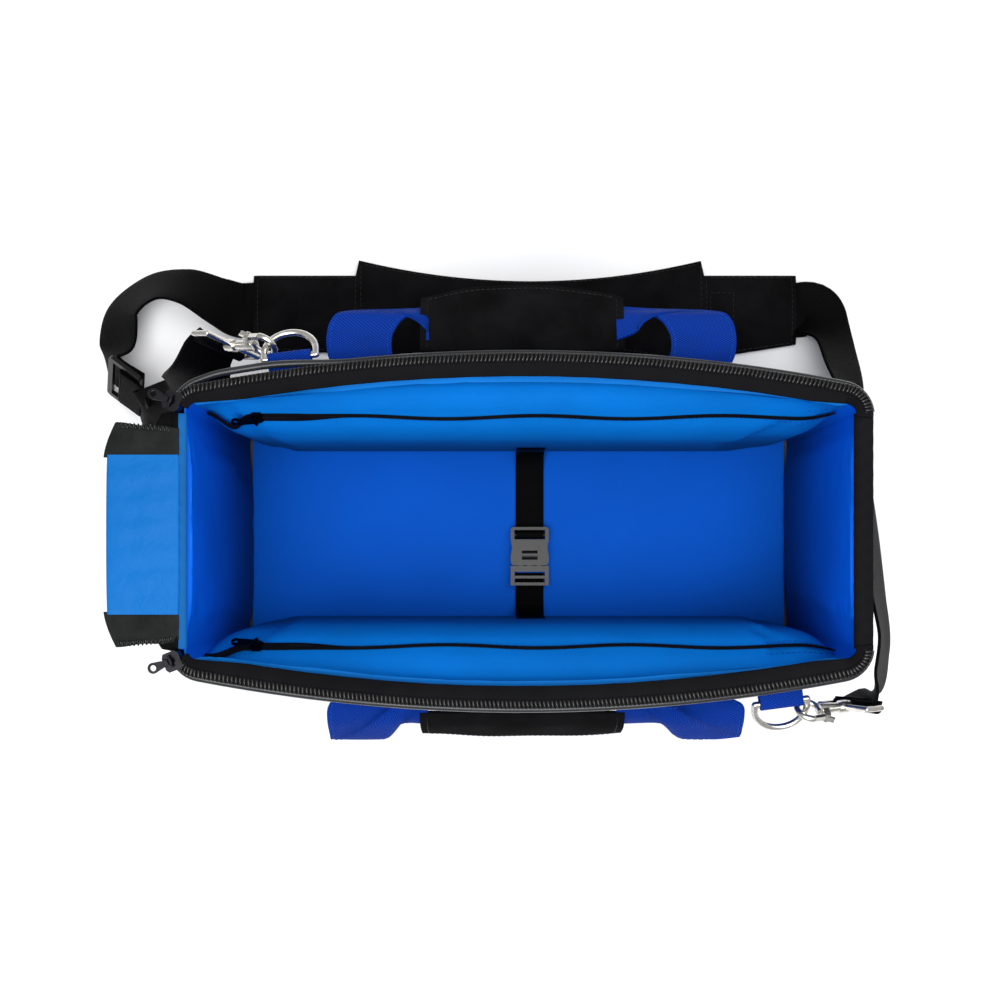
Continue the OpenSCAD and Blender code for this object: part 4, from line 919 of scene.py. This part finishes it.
class BAG_OT_handles(bpy.types.Operator):
    """Blue webbing of both handles and their suede grips"""
    bl_idname = "bag.handles"
    bl_label = "Handles"

    def execute(self, context):
        # outline of the loose webbing: (toward the grip, out from the wall) of its two edges
        edges = {
            BACK: (((24, 1), (20, 8), (18, 18), (19, 28), (24, 38), (31, 44), (35, 44), (38, 41), (42, 34),
                    (46, 27), (1e3, 21)),
                   ((-24, 1), (-29, 8), (-31, 18), (-31, 28), (-29, 38), (-23, 46), (-10, 49.5), (8, 50.5),
                    (24, 51), (38, 52), (1e3, 54))),
            FRONT: (((24, 1), (20, 5), (19, 7), (19, 8), (20, 8), (21, 8), (24, 8), (30, 8), (36, 9),
                     (42, 10), (1e3, 11)),
                    ((-24, 1), (-30, 10), (-31, 22), (-31, 36), (-31, 47), (-27, 51), (2, 51.5), (15, 47),
                     (20, 36), (29, 27), (1e3, 31)))}
        for side, word in SIDES:
            handle = word + "_handle"
            runs, loose, threads, sewn = [], [], [], []
            for k in (-1, 1):
                x = HANDLE_SHIFT + k * HANDLE_SPAN / 2
                reach = HANDLE_SPAN / 2 - k * GRIP_SHIFT - GRIP_LEN / 2 + 6
                zs = [7 + (HANDLE_Z - 9.5) * i / 8 for i in range(9)]
                runs.append(webbing("run", [[(x, side * (side_y(x, z) + run_off(z)), z), (1, 0, 0)]
                                            for z in zs], WEB_W, WEB_T))

                def on_run(dx, z):
                    return point(x + dx, side * (side_y(x, z) + run_off(z) + WEB_T / 2 + 0.1), z)
                sewn += [[on_run(dx, z) for z in range(10, 186, 6)] for dx in (-20, 20)]
                sewn += [[on_run(mix(a, -a, i / 20), mix(14, 54, i / 20)) for i in range(21)]
                         for a in (-19, 19)]
                sewn += [[on_run(mix(-19, 19, i / 12), z) for i in range(13)] for z in (12, 56)]

                def web(u, v, h=0.0):
                    a, b = (spline([Vector((min(q[0], reach), q[1], 0)) for q in e], u) for e in edges[side])
                    q = a.lerp(b, v)
                    if side == FRONT:
                        if k > 0:
                            away = smooth(q.y / 22) * (1 - smooth((u - 0.55) / 0.3))
                            q.y -= 9 * clip((8 - q.x) / 36) * away
                            q.x -= 6.5 * away
                        arch = 9 * smooth((q.y - 12) / 36) * (1 - smooth((u - 0.62) / 0.2))
                        arch -= 1.5 * smooth((q.y - 46) / 5)
                    else:
                        arch = 3.0 * sin(pi * clip(q.y / 54)) - 4.2 * smooth((q.y - 43) / 9)
                        arch -= 0.9 * (1 - smooth((q.y - 8) / 10))
                        arch += 3.6 * smooth((u - 0.55) / 0.35) * (1 - v)
                    wave = 0.5 * sin(u * 17 + k) * sin(pi * v)
                    return handle_point(side, x - k * min(q.x, reach), q.y, h + arch + wave) * MM
                loose.append(thick(cloth_grid("loose", 88, 16, web), WEB_T, 0.0, 0.7))
                threads += [[web(i / 40, v, WEB_T / 2 + 0.1) for i in range(1, 38)] for v in (0.06, 0.94)]
            dressed(joined(word + "_run_webbing", runs), "blue_web", "bag", word + "_handle_runs")
            dressed(joined(word + "_loose_webbing", loose), "blue_web", handle, word + "_handle_web")
            stitched(word + "_run_thread", sewn, "blue_thread", "bag", 0.3, 3.2, 1.8)
            stitched(word + "_handle_thread", threads, "blue_thread", handle, 0.22)

            def grip(u, v):
                k = mix(-1, 1, u)
                a = 2 * pi * v
                f = 0.5 - 0.5 * cos(a)
                fold = GRIP_H * (1 - 0.2 * k * k) + 0.5 * sin(k * 9)
                h = GRIP_T / 2 * rounded(sin(a), 0.45) + 0.4 * sin(k * 7 + f * 4)
                x = HANDLE_SHIFT + GRIP_SHIFT + k * GRIP_LEN / 2
                return handle_point(side, x, GRIP_IN + f * fold, h) * MM
            o = tube_loft(word + "_grip_suede", 60, 48, grip)
            dressed(o, "suede", handle, word + "_grip", angle=60)
            rows = [[grip(0.03 + 0.94 * i / 60, 0.415) for i in range(61)]]
            rows += [[grip(u, 0.06 + 0.36 * i / 20) for i in range(21)] for u in (0.035, 0.965)]
            rows = [[q + point(0, 0, 0.15) for q in row] for row in rows]
            stitched(word + "_grip_thread", rows, "thread", handle, 0.25, 2.6, 1.5)
        return {"FINISHED"}


# Webbing routes, millimetres: centre of the strap and the direction of its width
STRAPS = {
    "left_strap_web": [
        ((-232.5, 146, 178.5), (0.47, -0.18, -0.86)), ((-239.5, 140.5, 176.5), (0.47, -0.18, -0.86)),
        ((-249, 126, 168), (0.48, -0.25, -0.84)), ((-258, 117, 150), (0.5, -0.4, -0.75)),
        ((-270, 111, 126), (0.4, -0.6, -0.65)), ((-283, 108, 98), (0.2, -0.8, -0.55)),
        ((-297, 107, 68), (0, -0.85, -0.5)), ((-327.5, 105, 35), (-0.3, -0.4, -0.87)),
        ((-334, 116, 32), (-0.3, -0.4, -0.87)), ((-352, 129.5, 32), (-0.3, -0.4, -0.87)),
    ],
    "middle_strap_web": [
        ((-334.5, 129, 26), (0.3, 0.4, 0.87)), ((-359.5, 147.5, 26), (0.3, 0.4, 0.87)),
        ((-358, 168, 24), (0.8, 0.15, 0.58)), ((-353, 200, 22), (0.75, -0.1, 0.65)),
        ((-327, 221, 21), (0.45, -0.5, 0.74)), ((-298, 222, 18.5), (0.1, -0.75, 0.65)),
        ((-270, 210, 12), (0, -0.93, 0.36)), ((-253, 203, 7), (0, -1, 0.02)),
        ((-240.5, 203, 6), (0, -1, 0.02)), ((-228, 203, 4.5), (0, -1, 0.02)),
    ],
    "right_strap_web": [
        ((240, 203, 4.5), (0, -1, 0.02)), ((252.5, 203, 6), (0, -1, 0.02)),
        ((265, 203, 7), (0, -1, 0.02)), ((274, 192, 12), (-0.25, -0.85, 0.35)),
        ((283, 172, 21), (-0.6, -0.4, 0.7)), ((287, 142, 38), (-0.7, -0.05, 0.68)),
        ((287, 105, 62), (-0.5, 0, 0.87)), ((286, 60, 92), (-0.45, 0, 0.9)),
        ((284, 5, 126), (-0.45, 0, 0.9)), ((281, -45, 156), (-0.45, 0, 0.9)),
        ((280, -85, 176), (-0.4, 0, 0.9)), ((272, -118, 186), (-0.4, 0, 0.9)),
        ((262.5, -128, 185.5), (0.36, 0.05, 0.93)), ((256, -128, 188), (0.36, 0.05, 0.93)),
    ],
}
# Hold-down strap: (y, z) of its centre, at one x
HOLD_X = 10
HOLD = {
    "hold_strap_back": ((72.5, 92), (72.5, 60), (72.5, 36), (62, 20.5), (50, 18), (11, 19), (4, 21),
                        (-1, 21)),
    "hold_strap_front": ((-72.5, 92), (-72.5, 60), (-72.5, 36), (-66, 21.5), (-58, 18), (-42, 17.5),
                         (-35, 17.5)),
}
# Bars that the strap webbing wraps: centre, direction in which it leaves, bar direction, radius
LOOPS = {
    "left_strap_web": [((-231, 143, 180.5), (-0.5, 0.755, -0.425), (0.47, -0.175, -0.865), 3.8),
                       ((-350, 132, 30), (-0.515, -0.695, 0.5), (-0.3, -0.4, -0.865), 3.7)],
    "right_strap_web": [((256, -132, 188), (-0.06, 0.998, -0.025), (0.36, 0.045, 0.93), 3.8)],
    "hold_strap_back": [((HOLD_X, -0.8, 23.8), (0, 0, -1), (1, 0, 0), 2.9)],
}


def wrapped(name, stations, width, t, per, across, curl=0.0):
    """A strap and its loops round the bars that it ends on."""
    parts = [webbing(name, stations, width, t, per, across, curl)]
    for centre, leave, bar, r in LOOPS.get(name, ()):
        c, e, w = Vector(centre), Vector(leave), Vector(bar)
        f = e.cross(w).normalized()
        turn = [radians(12 + 14 * i) for i in range(25)]
        parts.append(webbing("loop", [[c + r * (e * cos(a) + f * sin(a)), w] for a in turn],
                             width - 0.6, t * 0.92, 2, across))
    return dressed(joined(name + "_cloth", parts), "black_web", "bag", name)


def wall_frame(x, side, z):
    """Place on a long wall's outer face, direction along the wall and direction out of it."""
    d = Vector((1, -side * 2 * bow(z) * x / half_l(z) ** 2, 0)).normalized() * side
    return Vector((x, side * side_y(x, z), z)), d, Vector((0, 0, 1)).cross(d)


class BAG_OT_straps(bpy.types.Operator):
    """Ring tabs, shoulder strap webbing and its pad"""
    bl_idname = "bag.straps"
    bl_label = "Shoulder strap"

    def execute(self, context):
        # a tab's way, (out from the wall, up): up the wall, round the ring's bar and back
        turn, bar_out, bar_up = 3.8, 15, 12
        way = [(1.9, -13), (1.9, -4), (1.9, 4), (2.2, 8.6), (6, 8.2), (11, 8.2)]
        way += [(bar_out + turn * cos(radians(a)), bar_up + turn * sin(radians(a)))
                for a in range(-90, 91, 30)]
        way += [(11, 15.8), (6, 15.8), (2.4, 16.6), (1.9, 20), (1.9, 20.5)]
        tabs = []
        for x, side in ((-170, BACK), (191, FRONT)):
            o, d, out = wall_frame(x, side, 200)
            stations = [[o + out * p + Vector((0, 0, z)), d] for p, z in way]
            tabs.append(webbing("tab", stations, TAB_W, TAB_T, 4))
        dressed(joined("ring_tab_webbing", tabs), "blue_web", "bag", "ring_tabs")
        for node, stations in STRAPS.items():
            wrapped(node, stations, STRAP_W, STRAP_T, 14, 6, 0.5)
        self.shoulder_pad()
        return {"FINISHED"}

    def shoulder_pad(self):
        middle, half_length, y0, left_panel, right_panel = 6, 246, 200, 95, 84
        left, right = middle - half_length, middle + half_length
        seams = (left + left_panel, right - right_panel)

        def pad(u, v):
            x = mix(left, right, u)
            half = 35
            if seams[0] <= x <= seams[1]:
                half = mix(60, 98, (2 * (x - seams[0]) / (seams[1] - seams[0]) - 1) ** 2) / 2
            near = min(clip(abs(x - s) / 14) for s in seams)
            ends = clip(min(x - left, right - x) / 16)
            a = 2 * pi * v
            w = -cos(a)
            top = 5 + 8 * (1 - abs(w) ** 3) * (0.45 + 0.55 * smooth(near)) * (0.35 + 0.65 * smooth(ends))
            slope = mix(-6, 7, clip((x - seams[1]) / (right - seams[1]))) * max(0, -w) * (x > seams[1])
            return point(x, y0 + w * half + slope, cushion_z(a, top, 0.05, 2.5, 4))
        o = tube_loft("shoulder_pad_suede", 160, 64, pad)
        dressed(o, "suede", "bag", "shoulder_pad", angle=60)

        def on_pad(x, w):
            u = (x - left) / (right - left)
            return pad(u, acos(-w) / (2 * pi)) + point(0, 0, 0.2)
        rows = [[on_pad(x, w / 20) for w in range(-19, 20)] for s in seams for x in (s - 2.5, s + 2.5)]
        rows += [[on_pad(x, w / 20) for w in range(-19, 20)] for x in (left + 4, right - 4)]
        panels = ((left, seams[0]), seams, (seams[1], right))
        rows += [[on_pad(mix(a + 4, b - 4, i / 60), w) for i in range(61)] for w in (-0.93, 0.93)
                 for a, b in panels]
        x0, x1, w0, w1 = seams[1] + 6, seams[1] + 26, -0.45, 0.5
        box = [(x0, w0), (x1, w0), (x1, w1), (x0, w1), (x0, w0)]
        rows.append([on_pad(mix(a[0], b[0], i / 12), mix(a[1], b[1], i / 12))
                     for a, b in zip(box, box[1:]) for i in range(12)])
        stitched("shoulder_pad_thread", rows, "thread", "bag", 0.32, 3.2, 1.8)


class BAG_OT_hold_strap(bpy.types.Operator):
    """Hold-down webbing over the floor pad"""
    bl_idname = "bag.hold_strap"
    bl_label = "Hold-down strap"

    def execute(self, context):
        for node, way in HOLD.items():
            wrapped(node, [((HOLD_X, y, z), (1, 0, 0)) for y, z in way], HOLD_W, HOLD_T, 10, 4)
        return {"FINISHED"}


def flap_end(u):
    """How far the flap's trims bend outward from its hinge to its free end."""
    return 4 * sin(u * pi / 2)


class BAG_OT_flap(bpy.types.Operator):
    """Folded-out end flap: blue panel, suede trims and their zip coils"""
    bl_idname = "bag.flap"
    bl_label = "End flap"

    def execute(self, context):
        x0, x1, y0, y1, z0, z1 = in_mm(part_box("flap_panel"))

        def panel(u, v):
            a = 2 * pi * v
            f = 0.5 - 0.5 * cos(a)
            y = mix(y0, y1, u)
            x = mix(x1, x0, f) - 1.4 * (1 - abs(2 * u - 1) ** 3) * (f - 0.5)
            puff = 1.6 * (1 - (2 * f - 1) ** 4) * (1 - (2 * u - 1) ** 4)
            fold = 0.35 * sin(y * 0.33 + 2 * f) * sin(pi * f)
            return point(x, y, cushion_z(a, z1 - 1.6 + puff + fold, z0, (z0 + z1) / 2, 3.5))
        o = tube_loft("flap_panel_cloth", 60, 60, panel)
        dressed(o, "flap", "end_flap", "flap_panel", angle=60)
        for side, word in SIDES:
            def gusset(u, v):
                x = mix(-248, mix(-261, -270, v), u)
                y = mix(mix(88, 85, u), mix(70, 66, u), v)
                wave = 1.6 * sin(u * 9 + v * 3) * sin(pi * v)
                return point(x, side * y, 237.5 - 3 * u + wave - 2 * (2 * v - 1) ** 2)
            o = smoothed(thick(cloth_grid(word + "_gusset", 40, 30, gusset), 1.6, 0.0, 0.5), 60)
            painted(o, "suede")
            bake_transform(o)
        x0, x1, y0, y1, z0, z1 = in_mm(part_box("flap_trims"))
        trim_w, coil_pitch = 24.4, 3
        trims, coils = [], []
        for inner, outer, out in ((y0 + trim_w, y0, FRONT), (y1 - trim_w, y1, BACK)):
            def trim(u, v):
                a = 2 * pi * v
                f = 0.5 - 0.5 * cos(a)
                x = mix(x1, x0 + 6.5 * f ** 1.5 - 2.5 * (1 - f), u)
                y = mix(inner, outer + out * (flap_end(u) - 3.5 + 0.8 * sin(u * 8)), f)
                top = z1 - 1.5 * f * f - 1.6 * (1 - f) ** 3 + 0.7 * sin(u * 7 + out) * f
                return point(x, y, cushion_z(a, top, z0 + 0.3, (z0 + z1) / 2, 4))
            trims.append(tube_loft("trim", 24, 40, trim))
            points = []
            for i in range(int((x1 - x0 - 12) / coil_pitch) * 10 + 1):
                a = 2 * pi * i / 10
                x = x0 + 8 + i * coil_pitch / 10
                y = outer + out * (flap_end((x1 - x) / (x1 - x0)) - 5.2 + 1.9 * cos(a))
                points.append(point(x, y, z1 - 0.7 + 0.5 * sin(a)))
            coils.append(wires("coil", [points], 0.5))
        dressed(joined("flap_trim_suede", trims), "trim", "end_flap", "flap_trims", angle=60)
        dressed(joined("flap_coil_wire", coils), "coil", "end_flap", "flap_coils", angle=60)
        return {"FINISHED"}


CAMERA_AT, SENSOR, LENS, SHIFT_X, SHIFT_Y = (-0.012, -0.010, 1.140), 36, 45, -0.005, 0.045


class BAG_OT_stage(bpy.types.Operator):
    """Pale floor, soft studio light and the camera straight above"""
    bl_idname = "bag.stage"
    bl_label = "Stage"

    def execute(self, context):
        bpy.ops.object.select_all(action="DESELECT")
        bpy.ops.mesh.primitive_plane_add(size=2 * sizes().backdrop, location=(0, 0, -0.0005))
        floor = bpy.context.object
        floor.name = "floor"
        p = Paint("Pale floor", Roughness=0.9, Base_Color=(0.9, 0.9, 0.9, 1), Specular_IOR_Level=0.0)
        floor.data.materials.append(p.m)
        world = bpy.data.worlds.new("Studio")
        world.use_nodes = True
        back = world.node_tree.nodes["Background"]
        back.inputs[0].default_value = (1, 1, 1, 1)
        back.inputs[1].default_value = 0.45
        bpy.context.scene.world = world
        for name, place, size, power, aim in (
                ("key", (-0.25, -0.55, 2.1), 1.3, 44, (0, 0, 0.1)),
                ("fill", (0.6, 0.5, 2.0), 1.6, 20, (0, 0, 0.1))):
            bpy.ops.object.light_add(type="AREA", location=place)
            light = bpy.context.object
            light.name = name
            light.data.size = size
            light.data.energy = power
            light.rotation_euler = (Vector(aim) - Vector(place)).to_track_quat("-Z", "Y").to_euler()
        bpy.ops.object.camera_add(location=CAMERA_AT, rotation=(0, 0, 0))
        camera = bpy.context.object
        camera.data.sensor_width = SENSOR
        camera.data.lens = LENS
        camera.data.shift_x = SHIFT_X
        camera.data.shift_y = SHIFT_Y
        scene = bpy.context.scene
        scene.camera = camera
        scene.view_settings.view_transform = "Standard"
        return {"FINISHED"}


class BAG_PT_panel(bpy.types.Panel):
    """Lists the steps that build the bag"""
    bl_label = "Open carrying bag"
    bl_idname = "BAG_PT_panel"
    bl_space_type = "VIEW_3D"
    bl_region_type = "UI"
    bl_category = "Bag"

    def draw(self, context):
        for group in (context.scene.bag_sizes, context.scene.bag_colours):
            for name in group.bl_rna.properties.keys():
                if name not in ("rna_type", "name"):
                    self.layout.prop(group, name)
        for step in STEPS:
            self.layout.operator(step.bl_idname)


STEPS = (BAG_OT_materials, BAG_OT_shell, BAG_OT_pads, BAG_OT_rim, BAG_OT_pockets, BAG_OT_handles,
         BAG_OT_straps, BAG_OT_hold_strap, BAG_OT_flap, BAG_OT_stage)
CLASSES = (BagSizes, BagColours, *STEPS, BAG_PT_panel)


def register():
    for c in CLASSES:
        bpy.utils.register_class(c)
    bpy.types.Scene.bag_sizes = PointerProperty(type=BagSizes)
    bpy.types.Scene.bag_colours = PointerProperty(type=BagColours)


def unregister():
    del bpy.types.Scene.bag_sizes
    del bpy.types.Scene.bag_colours
    for c in reversed(CLASSES):
        bpy.utils.unregister_class(c)


def main():
    register()
    for step in STEPS:
        kind, name = step.bl_idname.split(".")
        getattr(getattr(bpy.ops, kind), name)()
    bpy.context.view_layer.update()


if __name__ == "__main__":
    main()
